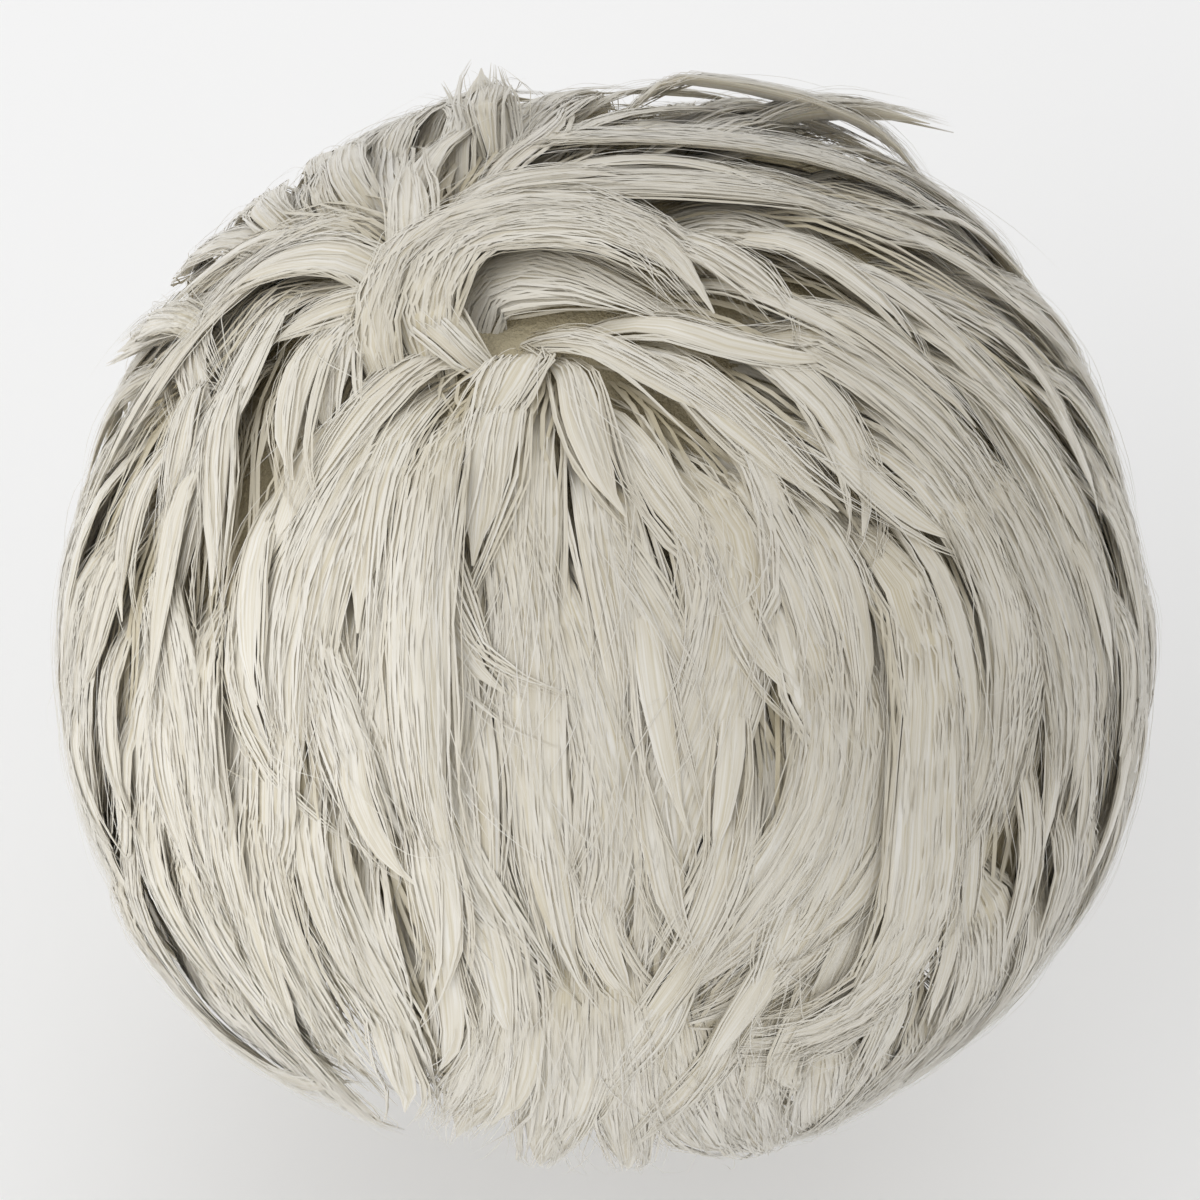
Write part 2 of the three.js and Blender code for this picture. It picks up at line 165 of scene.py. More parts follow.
# Main locks: root and tip, bows as shares of the length, width as a share of a full lock, and lift,
# where 0 is the outside of the cap and 1 the outline of the dressed hair
Fall = namedtuple("Fall", "azimuth polar end_azimuth end_polar bow_root bow_tip width lift tip_lift")
LOCKS = {
    "crown_hair": (
        Fall(-52, 22, 96, 11, 1.0, 0.42, 0.75, 1.04, 0.98),
        Fall(150, 3, 78, 38, 0.3, 0.05, 0.95, 0.95, 0.9),
        Fall(60, 3, 44, 36, 0.2, 0.12, 0.85, 0.95, 0.88),
        Fall(-40, 10, -9, 54, -0.12, -0.05, 0.8, 0.98, 0.88),
        Fall(8, 10, 10, 54, 0.42, 0.1, 0.7, 1.02, 0.88),
        Fall(-100, 16, -62, 34, -0.34, -0.12, 0.85, 0.95, 0.92),
        Fall(-140, 22, -76, 42, -0.7, -0.72, 0.95, 0.97, 0.92),
        Fall(-165, 20, 118, 34, 0.3, 0.2, 1.1, 0.95, 0.92),
    ),
    "fringe_hair": (
        Fall(2, 34, 2, 92, -0.02, 0.02, 0.95, 0.98, 0.9),
        Fall(-16, 32, -5, 96, 0.05, 0.04, 0.9, 0.94, 0.9),
        Fall(25, 25, 3, 81, 0.36, 0.38, 0.75, 1.0, 0.95),
        Fall(36, 33, 5, 83, 0.22, 0.52, 0.75, 1.0, 0.98),
        Fall(35, 56, 8, 85, 0.56, 0.62, 0.6, 1.12, 1.05),
        Fall(-34, 36, -4, 84, 0.06, 0.0, 0.8, 0.98, 0.92),
        Fall(-36, 50, -17, 108, 0.02, 0.08, 0.95, 0.97, 0.75),
        Fall(-2, 76, -9, 116, 0.04, -0.06, 0.55, 1.0, 0.55),
        Fall(1, 76, 13, 113, 0.2, 0.16, 0.5, 1.05, 0.7),
        Fall(20, 62, 20, 108, 0.06, 0.02, 0.85, 0.85, 0.6),
    ),
    "left_hair": (
        Fall(50, 24, 36, 66, 0.3, 0.16, 0.85, 1.0, 0.95),
        Fall(74, 28, 45, 74, 0.16, 0.14, 0.9, 1.0, 0.95),
        Fall(86, 32, 52, 86, 0.14, 0.18, 0.95, 1.0, 0.95),
        Fall(102, 34, 62, 92, 0.1, 0.14, 1.05, 1.0, 0.95),
        Fall(112, 44, 70, 108, 0.14, 0.1, 1.05, 1.0, 0.95),
        Fall(112, 62, 86, 122, 0.12, -0.06, 1.1, 1.0, 0.95),
        Fall(44, 66, 44, 110, 0.1, -0.06, 0.8, 1.0, 0.95),
        Fall(58, 76, 50, 115, 0.12, 0.1, 0.9, 1.02, 1.0),
        Fall(104, 88, 98, 130, 0.1, -0.1, 1.0, 0.98, 1.0),
    ),
    "right_hair": (
        Fall(-72, 20, -36, 64, -0.06, 0.1, 0.9, 0.97, 0.92),
        Fall(-56, 28, -27, 70, 0.02, 0.04, 0.8, 1.0, 0.95),
        Fall(-84, 46, -50, 88, 0.22, -0.1, 0.95, 1.0, 0.95),
        Fall(-66, 42, -40, 84, 0.02, -0.06, 0.9, 1.0, 0.95),
        Fall(-100, 42, -64, 98, -0.02, -0.1, 1.05, 1.0, 0.98),
        Fall(-114, 50, -76, 106, -0.12, -0.08, 1.1, 1.0, 1.0),
        Fall(-46, 62, -31, 104, 0.0, -0.1, 0.9, 0.98, 0.9),
        Fall(-62, 78, -31, 103, -0.3, -0.42, 0.85, 1.08, 1.05),
        Fall(-80, 80, -54, 110, -0.2, -0.24, 0.9, 1.04, 1.05),
        Fall(-104, 78, -94, 126, -0.08, 0.1, 1.05, 0.98, 1.02),
    ),
    "upper_back_hair": (
        Fall(-114, 26, -146, 64, 0.2, -0.1, 1.2, 0.98, 0.96),
        Fall(-144, 28, 180, 60, 0.3, 0.1, 1.3, 0.98, 0.96),
        Fall(-172, 30, 152, 64, 0.26, 0.1, 1.3, 0.98, 0.96),
        Fall(172, 42, 138, 55, 0.22, 0.16, 0.6, 1.14, 1.3),
        Fall(162, 26, 126, 62, 0.2, -0.08, 1.1, 0.98, 0.96),
        Fall(136, 26, 108, 62, 0.16, -0.12, 1.1, 0.98, 0.96),
        Fall(-160, 34, -164, 46, 0.1, 0.1, 0.4, 1.1, 1.26),
        Fall(-122, 50, -112, 66, 0.2, 0.3, 0.5, 1.06, 1.16),
    ),
}

# Rows of falling locks at the back
Row = namedtuple("Row", "count left right top bottom lean lift tip_lift")
ROWS = {
    "back_hair": Row(7, 112, 248, 54, 108, 5, 0.98, 0.96),
    "nape_hair": Row(7, 116, 244, 92, 146, -4, 0.96, 0.86),
}
Turn = namedtuple("Turn", "bow_root bow_tip drop width")
TURNS = (Turn(0.2, -0.16, 0, 1.35), Turn(-0.12, 0.2, 6, 1.15), Turn(0.24, 0.06, -3, 1.3),
         Turn(-0.18, -0.1, 4, 1.2))

# Top locks, laid over the main ones: width as a share of a full lock, rise above the outline
# in millimetres, and the route as azimuth and polar
Stream = namedtuple("Stream", "width rise route")
STREAMS = {
    "crown_hair": (
        Stream(0.62, 6, ((-55, 21), (-90, 19), (-125, 19), (-180, 13), (120, 11), (98, 12), (88, 15))),
        Stream(0.4, 5, ((-50, 26), (-84, 24), (-122, 24), (-172, 18), (140, 14), (108, 14))),
        Stream(0.55, 2.5, ((5, 9), (20, 17), (25, 24), (26, 30), (20, 38), (10, 51), (5, 65), (2, 80))),
        Stream(0.45, 2.5, ((-40, 11), (-33, 18), (-25, 24), (-13, 35), (-9, 50), (-6, 65), (-2, 79))),
        Stream(0.3, 2.5, ((-8, 15), (0, 26), (8, 34), (11, 44), (8, 56))),
        Stream(0.45, 2, ((-110, 20), (-93, 28), (-76, 30), (-66, 32))),
        Stream(0.5, 2.5, ((100, 10), (88, 22), (80, 31), (72, 41), (64, 52))),
        Stream(0.5, 2, ((-140, 25), (-122, 42), (-106, 49), (-92, 45), (-79, 41))),
        Stream(0.45, 6, ((-78, 13), (-52, 19), (-36, 29), (-27, 41), (-20, 55), (-14, 68))),
        Stream(0.4, 2, ((-5, 14), (4, 26), (6, 39), (4, 54))),
        Stream(0.35, 2, ((14, 16), (19, 29), (17, 43), (12, 58))),
        Stream(0.35, 2, ((34, 16), (36, 28), (33, 42), (27, 56))),
        Stream(0.4, 2, ((-24, 14), (-17, 27), (-13, 41), (-11, 58))),
        Stream(0.4, 2.5, ((-48, 24), (-38, 34), (-30, 46), (-26, 60))),
    ),
    "fringe_hair": (
        Stream(0.4, 2.5, ((-24, 22), (-8, 33), (0, 48), (1, 62), (-1, 76))),
        Stream(0.5, 2.5, ((22, 24), (33, 41), (26, 57), (12, 72), (3, 81))),
        Stream(0.45, 2.5, ((36, 32), (37, 44), (32, 56), (27, 65), (15, 78), (5, 82))),
        Stream(0.6, 5,
               ((45, 20), (50, 29), (49, 39), (43, 50), (37, 60), (34, 70), (30, 79), (19, 85), (6, 83))),
        Stream(0.42, 2.5, ((-33, 38), (-23, 51), (-10, 70), (-3, 81))),
        Stream(0.45, 2.5, ((-37, 50), (-31, 66), (-22, 86), (-19, 104))),
        Stream(0.5, 2, ((-9, 68), (-12, 90), (-18, 112))),
        Stream(0.5, 2.5, ((-4, 64), (-5, 90), (-8, 118))),
        Stream(0.5, 2.5, ((1, 62), (2, 90), (3, 119))),
        Stream(0.5, 2.5, ((7, 70), (8, 92), (12, 106), (19, 113))),
        Stream(0.4, 2, ((14, 76), (17, 92), (22, 106))),
        Stream(0.6, 2.5, ((24, 84), (25, 98), (26, 109), (27, 119))),
        Stream(0.5, 2.5, ((12, 80), (15, 95), (18, 108), (22, 118))),
    ),
    "left_hair": (
        Stream(0.5, 2.5, ((76, 29), (66, 40), (57, 53), (50, 61), (44, 72))),
        Stream(0.55, 2.5, ((84, 32), (70, 48), (62, 61), (53, 77))),
        Stream(0.6, 2.5, ((115, 34), (96, 38), (77, 53), (62, 78))),
        Stream(0.6, 2, ((112, 50), (88, 64), (68, 88), (60, 106))),
        Stream(0.5, 2, ((42, 68), (44, 84), (44, 100), (40, 110))),
        Stream(0.5, 2, ((60, 70), (58, 86), (52, 102), (44, 112))),
        Stream(0.5, 2, ((92, 74), (82, 90), (76, 106), (66, 118))),
        Stream(0.5, 2, ((112, 76), (104, 94), (96, 112), (84, 126))),
        Stream(0.5, 2.5, ((40, 84), (40, 98), (34, 108), (24, 113))),
        Stream(0.5, 2.5, ((52, 84), (49, 99), (41, 110), (30, 116))),
        Stream(0.45, 2.5, ((62, 92), (57, 107), (49, 118), (38, 120))),
        Stream(0.4, 2.5, ((30, 88), (31, 100), (27, 109), (19, 112))),
        Stream(0.6, 2, ((46, 78), (47, 92), (43, 105), (35, 114))),
        Stream(0.6, 2, ((36, 86), (37, 98), (33, 107), (25, 112))),
        Stream(0.6, 2, ((57, 94), (54, 105), (47, 113), (38, 117))),
        Stream(0.8, 1, ((42, 88), (43, 98), (44, 108), (43, 119))),
        Stream(0.8, 2, ((52, 84), (48, 96), (42, 108), (36, 118))),
        Stream(0.8, 1, ((30, 90), (31, 100), (32, 109), (32, 118))),
        Stream(0.8, 1, ((54, 94), (54, 104), (53, 113), (50, 121))),
    ),
    "right_hair": (
        Stream(0.55, 2.5, ((-77, 17), (-60, 27), (-50, 39), (-41, 52), (-33, 63))),
        Stream(0.4, 2.5, ((-52, 38), (-42, 45), (-31, 54), (-24, 66))),
        Stream(0.5, 2.5, ((-80, 53), (-62, 55), (-52, 62), (-43, 80))),
        Stream(0.45, 2.5, ((-66, 45), (-52, 58), (-42, 76), (-38, 88))),
        Stream(0.45, 2.5, ((-46, 54), (-36, 74), (-29, 92), (-26, 104))),
        Stream(0.5, 2, ((-54, 68), (-42, 86), (-34, 98), (-28, 104))),
        Stream(0.5, 5, ((-68, 78), (-58, 94), (-48, 106), (-37, 108), (-27, 101))),
        Stream(0.6, 2, ((-106, 50), (-86, 76), (-72, 98), (-64, 112))),
        Stream(0.6, 2, ((-90, 48), (-72, 72), (-63, 94), (-55, 110))),
        Stream(0.4, 2, ((-106, 36), (-84, 42), (-68, 50), (-58, 60))),
        Stream(0.3, 6, ((-104, 44), (-110, 54), (-113, 63))),
        Stream(0.5, 2, ((-112, 74), (-102, 92), (-92, 108), (-80, 120))),
        Stream(0.7, 2, ((-47, 82), (-44, 96), (-39, 107), (-32, 115))),
        Stream(0.6, 2, ((-37, 88), (-35, 100), (-31, 110), (-25, 116))),
    ),
    "upper_back_hair": (
        Stream(0.6, 2.5, ((-132, 30), (-160, 24), (170, 24), (142, 30), (122, 42))),
        Stream(0.6, 2.5, ((-140, 40), (-170, 34), (160, 36), (136, 46), (120, 60))),
        Stream(0.45, 9, ((-175, 45), (172, 46), (158, 48), (144, 52), (134, 57))),
        Stream(0.25, 9, ((-158, 34), (-162, 40), (-166, 47))),
        Stream(0.5, 2, ((-120, 34), (-140, 48), (-156, 60), (-176, 70))),
        Stream(0.5, 2, ((150, 48), (134, 58), (124, 72))),
    ),
    "back_hair": (
        Stream(0.5, 2, ((-128, 60), (-138, 78), (-134, 96), (-142, 108))),
        Stream(0.5, 2, ((-160, 62), (-152, 80), (-160, 96), (-156, 110))),
        Stream(0.5, 2, ((172, 60), (178, 80), (170, 96), (174, 110))),
        Stream(0.5, 2, ((140, 62), (150, 80), (142, 98), (146, 110))),
        Stream(0.5, 2, ((124, 66), (118, 84), (124, 100), (118, 112))),
    ),
}

# Sinking of a top lock's root and tip into the hair, fall of its rise at the tip, and its thickness
# as a share of a main lock's
STREAM_ROOT_SINK = 0.2
STREAM_TIP_SINK = 0.04
STREAM_TIP_FALL = 0.6
STREAM_THICKNESS = 0.55

# Fullness of a lock and width of a ribbon or strand along it: share, size
LOCK_FULLNESS = ((0, 0.45), (0.3, 0.95), (0.6, 1.0), (0.85, 0.62), (1, 0.12))
STREAM_FULLNESS = ((0, 0.3), (0.25, 0.9), (0.6, 1.0), (0.85, 0.6), (1, 0.15))
STRAND_TAPER = ((0, 0.35), (0.2, 1.0), (0.65, 1.0), (1, 0.12))


def ease(value, low, high):
    share = np.clip((np.asarray(value, float) - low) / (high - low), 0, 1)
    return share * share * (3 - 2 * share)


def eased(table, value):
    """Smooth steps from row to row of a table of (place, height)"""
    value = np.asarray(value, float)
    height = np.full(value.shape, float(table[0][1]))
    for (low, start), (high, end) in zip(table, table[1:]):
        height = height + ease(value, low, high) * (end - start)
    return height


def edge_polar(table, azimuth):
    return eased(table, np.abs((np.asarray(azimuth, float) + 180) % 360 - 180))


def unit(vectors):
    return vectors / np.maximum(np.linalg.norm(vectors, axis=-1, keepdims=True), 1e-12)


def direction(azimuth, polar):
    a, p = np.radians(azimuth), np.radians(polar)
    return np.stack([np.sin(p) * np.sin(a), -np.sin(p) * np.cos(a), np.cos(p) + 0 * a], axis=-1)


def angles(ray):
    """Azimuth and polar of rays from the middle of the head"""
    polar = np.degrees(np.arctan2(np.hypot(ray[..., 0], ray[..., 1]), ray[..., 2]))
    return np.degrees(np.arctan2(ray[..., 0], -ray[..., 1])), polar


def reach(ray, x, y, z, power):
    """Distance from the middle to a rounded box of half sizes x, y and z; power 2 is an ellipsoid"""
    total = np.abs(ray[..., 0] / x) ** power + np.abs(ray[..., 1] / y) ** power
    return (total + np.abs(ray[..., 2] / z) ** power) ** (-1 / power)


class HeadForm:
    """The worn head and the outline of the dressed hair around it"""

    def __init__(self, sizes):
        self.sizes = sizes
        self.middle = np.array([0, 0, -sizes.crown_height])

    def head_reach(self, ray, offset):
        s = self.sizes
        depth = np.where(ray[..., 1] < 0, s.head_front, s.head_back) + offset
        height = np.where(ray[..., 2] > 0, s.crown_height, s.head_depth) + offset
        return reach(ray, s.head_half_width + offset, depth, height, 2)

    def hair_reach(self, ray):
        s = self.sizes
        frontness = 0.5 - 0.5 * ray[..., 1] / np.sqrt(ray[..., 0] ** 2 + ray[..., 1] ** 2 + 1e-18)
        lowness = 0.5 - 0.5 * ray[..., 2]
        rounder = np.minimum(1, ROUNDER_ONSET * frontness * lowness)
        power = HAIR_POWER + (FRINGE_POWER - HAIR_POWER) * rounder
        depth = np.where(ray[..., 1] < 0, s.head_front + s.front_volume, s.head_back + s.back_volume)
        drop = s.nape_drop + (s.fringe_drop - s.nape_drop) * np.minimum(1, FRINGE_ONSET * frontness)
        height = np.where(ray[..., 2] > 0, s.crown_height + s.top_volume, drop)
        return reach(ray, s.head_half_width + s.side_volume, depth, height, power)

    def head_point(self, azimuth, polar, offset):
        ray = direction(azimuth, polar)
        return self.middle + ray * self.head_reach(ray, offset)[..., None]

    def hair_point(self, azimuth, polar, lift, rise=0.0):
        ray = direction(azimuth, polar)
        inner = self.head_reach(ray, self.sizes.cap_wall)
        far = inner + (self.hair_reach(ray) - inner) * lift + rise
        return self.middle + ray * far[..., None]

    def crowding(self, azimuth, polar):
        """Locks are thinner where the hair is shallow"""
        ray = direction(azimuth, polar)
        depth = self.hair_reach(ray) - self.head_reach(ray, self.sizes.cap_wall)
        return np.sqrt(np.clip(depth / self.sizes.side_volume, 0.05, 1))


# Locks: stations along a path, each with a frame and the half sizes of the lock there

STATIONS = 29
SHARE = np.linspace(0, 1, STATIONS)


def to_map(azimuth, polar):
    """The head unrolled to a flat map, so that a path can cross the crown"""
    a = np.radians(azimuth)
    return np.stack([polar * np.sin(a), -polar * np.cos(a)], axis=-1)


def from_map(spots):
    return np.degrees(np.arctan2(spots[:, 0], -spots[:, 1])), np.hypot(spots[:, 0], spots[:, 1])


def bezier(controls, share):
    t = share[:, None]
    a, b, c, d = controls
    return a * (1 - t) ** 3 + 3 * b * t * (1 - t) ** 2 + 3 * c * t * t * (1 - t) + d * t ** 3


def through(spots, share):
    """Smooth curve through listed spots, by chord length"""
    knots = np.concatenate([[0], np.cumsum(np.linalg.norm(np.diff(spots, axis=0), axis=1))])
    knots = knots / knots[-1]
    slopes = np.gradient(spots, knots, axis=0)
    i = np.clip(np.searchsorted(knots, share, side="right") - 1, 0, len(knots) - 2)
    span = (knots[i + 1] - knots[i])[:, None]
    t = (share - knots[i])[:, None] / span
    start = spots[i] * (1 + 2 * t) * (1 - t) ** 2 + slopes[i] * span * t * (1 - t) ** 2
    return start + spots[i + 1] * t * t * (3 - 2 * t) + slopes[i + 1] * span * t * t * (t - 1)


class Lock:
    """A lock of hair, sampled at its stations"""

    def __init__(self, form, section, azimuth, polar, lift, rise, half_width, half_thickness):
        self.section = section
        self.centre = form.hair_point(azimuth, polar, lift, rise)
        self.tangent = unit(np.gradient(self.centre, axis=0))
        self.side = unit(np.cross(self.tangent, direction(azimuth, polar)))
        self.outward = np.cross(self.side, self.tangent)
        self.half_width = half_width
        self.half_thickness = half_thickness
        self.length = np.linalg.norm(np.diff(self.centre, axis=0), axis=1).sum()

    def at(self, share):
        """Centre, side, outward, half width and half thickness at shares (strand, station)"""
        place = share * (STATIONS - 1)
        low = np.clip(place.astype(int), 0, STATIONS - 2)
        mix = place - low

        def between(values):
            weight = mix.reshape(mix.shape + (1,) * (values.ndim - 1))
            return values[low] * (1 - weight) + values[low + 1] * weight

        frame_and_sizes = self.centre, self.side, self.outward, self.half_width, self.half_thickness
        return [between(values) for values in frame_and_sizes]


def main_lock(form, section, fall):
    start, end = to_map(fall.azimuth, fall.polar), to_map(fall.end_azimuth, fall.end_polar)
    run = end - start
    side = np.array([-run[1], run[0]])
    near_root, near_tip = start + run / 3 + side * fall.bow_root, start + run * 2 / 3 + side * fall.bow_tip
    controls = (start, near_root, near_tip, end)
    azimuth, polar = from_map(bezier(controls, SHARE))
    lifts = np.array([[ROOT_SHARE], [fall.lift], [fall.lift], [fall.tip_lift]])
    full = eased(LOCK_FULLNESS, SHARE) / 2
    thickness = form.sizes.lock_thickness * form.crowding(azimuth, polar) * full
    return Lock(form, section, azimuth, polar, bezier(lifts, SHARE)[:, 0], 0.0,
                form.sizes.lock_width * fall.width * full, thickness)


def falling(row):
    for i in range(row.count):
        turn = TURNS[i % len(TURNS)]
        azimuth = row.left + (row.right - row.left) * (i + 0.5) / row.count
        yield Fall(azimuth, row.top + turn.drop / 2, azimuth + row.lean, row.bottom + turn.drop,
                   turn.bow_root, turn.bow_tip, turn.width, row.lift, row.tip_lift)


def stream_lock(form, section, stream):
    route = np.array(stream.route, float)
    azimuth, polar = from_map(through(to_map(route[:, 0], route[:, 1]), SHARE))
    full = eased(STREAM_FULLNESS, SHARE) / 2
    lift = 1 - STREAM_ROOT_SINK * (1 - ease(SHARE, 0, 0.25)) - STREAM_TIP_SINK * ease(SHARE, 0.8, 1)
    rise = stream.rise * MM * ease(SHARE, 0, 0.3) * (1 - STREAM_TIP_FALL * ease(SHARE, 0.7, 1))
    thickness = STREAM_THICKNESS * form.sizes.lock_thickness * form.crowding(azimuth, polar) * full
    return Lock(form, section, azimuth, polar, lift, rise + flick(azimuth, polar),
                form.sizes.lock_width * stream.width * full, thickness)


def flick(azimuth, polar):
    """Tips that hang past the hem turn outwards, most of all over the face"""
    beside = 1 - 0.7 * ease(np.abs(azimuth), *FACE_REACH)
    return HEM_FLICK * beside * ease(np.asarray(polar) - edge_polar(HAIR_EDGE, azimuth), 0, HEM_FLICK_REACH)


def section_of(azimuth, polar):
    """Name of the section that a place on the head belongs to"""
    turn = azimuth % 360
    if polar < AREAS["crown_hair"].bottom:
        return "crown_hair"
    if turn > AREAS["right_hair"].right % 360 or turn < AREAS["left_hair"].left:
        return "fringe_hair"
    if turn < AREAS["left_hair"].right:
        return "left_hair"
    if turn > AREAS["right_hair"].left % 360:
        return "right_hair"
    if polar < AREAS["back_hair"].top:
        return "upper_back_hair"
    return "back_hair" if polar < AREAS["nape_hair"].top else "nape_hair"


# Count, width and length, range of lift, sinking of the root, rise in metres, drift off the flow, and
# thickness as a share of the width
Wisps = namedtuple("Wisps", "count width length lift sink rise drift thickness")
UNDER_WISPS = Wisps(380, 0.022, 0.08, (0.94, 1.0), 0.15, 0.0, 0.2, 0.2)
OVER_WISPS = Wisps(360, 0.0105, 0.085, (1.0, 1.02), 0.14, 0.004, 0.55, 0.2)


class Groom:
    """Main locks, top locks, and wisps that run between them along the flow that the locks set"""

    FLOW_REACH = 13 * MM
    STEPS = 9
    MOMENTUM = 1.5
    LOWEST = 142
    GOLDEN_TURN = 137.508
    HEM_SHORT = 4
    HEM_PAST = 15
    HOLLOW = (-138, 15)
    HOLLOW_REACH = 10
    LENGTHS = (0.75, 1.25)
    WIDTHS = (0.55, 1.35)
    RISES = (0.4, 1.0)

    def __init__(self, form):
        self.form = form
        self.mains = [main_lock(form, name, fall) for name, falls in LOCKS.items() for fall in falls]
        self.mains += [main_lock(form, name, fall) for name, row in ROWS.items() for fall in falling(row)]
        self.streams = [stream_lock(form, name, stream) for name, made in STREAMS.items() for stream in made]
        guides = self.mains + self.streams
        self.guide_places = np.concatenate([lock.centre[4::3] for lock in guides])
        self.guide_flows = np.concatenate([lock.tangent[4::3] for lock in guides])
        rng = np.random.default_rng(7)
        self.under = self.wisps(UNDER_WISPS, rng)
        self.over = self.wisps(OVER_WISPS, rng)

    def flow(self, places):
        gap = np.linalg.norm(places[:, None] - self.guide_places, axis=2)
        weight = np.exp(-(gap / self.FLOW_REACH) ** 2 / 2) + 1e-7 / (gap ** 2 + 1e-6)
        return unit((weight[..., None] * self.guide_flows).sum(axis=1))

    def trace(self, azimuth, polar, step, drift):
        """Places along the flow from the seeds, one row for each step"""
        track = [np.stack([azimuth, polar])]
        heading = 0
        for i in range(self.STEPS):
            places = self.form.hair_point(azimuth, polar, 1.0)
            flow = heading = unit(self.flow(places) + self.MOMENTUM * heading)
            across = np.cross(flow, direction(azimuth, polar))
            flow = unit(flow + across * (drift * (0.3 + 2 * (i / self.STEPS) ** 2))[:, None])
            azimuth, polar = angles(places + flow * step[:, None] - self.form.middle)
            track.append(np.stack([azimuth, polar]))
        return track

    def wisps(self, plan, rng):
        """Seeds spread evenly over the hair by a golden spiral, each traced both ways along the flow.
        None passes the hollow under the lock that arches over the crown."""
        order = np.arange(plan.count) + 0.5
        polar = np.degrees(np.arccos(1 - order / plan.count * (1 - math.cos(math.radians(self.LOWEST)))))
        azimuth = (order * self.GOLDEN_TURN) % 360 - 180 + rng.normal(0, 2, plan.count)
        keep = polar < edge_polar(HAIR_EDGE, azimuth) - self.HEM_SHORT
        azimuth, polar = azimuth[keep], polar[keep]
        step = plan.length * rng.uniform(*self.LENGTHS, azimuth.size) / self.STEPS / 2
        drift = rng.normal(0, plan.drift, azimuth.size)
        back = self.trace(azimuth, polar, -step, 0.3 * drift)
        ahead = self.trace(azimuth, polar, step, drift)
        tracks = np.array(back[:0:-1] + ahead)
        wisps = []
        for k in range(azimuth.size):
            a, p = tracks[:, 0, k], tracks[:, 1, k]
            inside = p < edge_polar(HAIR_EDGE, a) + self.HEM_PAST
            end = len(p) if inside.all() else max(3, int(np.argmin(inside)))
            a, p = from_map(through(to_map(a[:end], p[:end]), SHARE))
            lift = rng.uniform(*plan.lift) - plan.sink * (1 - ease(SHARE, 0, 0.4))
            width = plan.width * rng.uniform(*self.WIDTHS) * eased(STREAM_FULLNESS, SHARE) / 2
            from_hollow = np.linalg.norm(to_map(a, p) - to_map(*self.HOLLOW), axis=1)
            if from_hollow.min() < self.HOLLOW_REACH:
                continue
            rise = plan.rise * rng.uniform(*self.RISES) * ease(SHARE, 0.1, 0.5) + flick(a, p)
            wisps.append(Lock(self.form, section_of(float(azimuth[k]), float(polar[k])), a, p, lift, rise,
                              width, width * plan.thickness * self.form.crowding(a, p)))
        return wisps


# Meshes from arrays

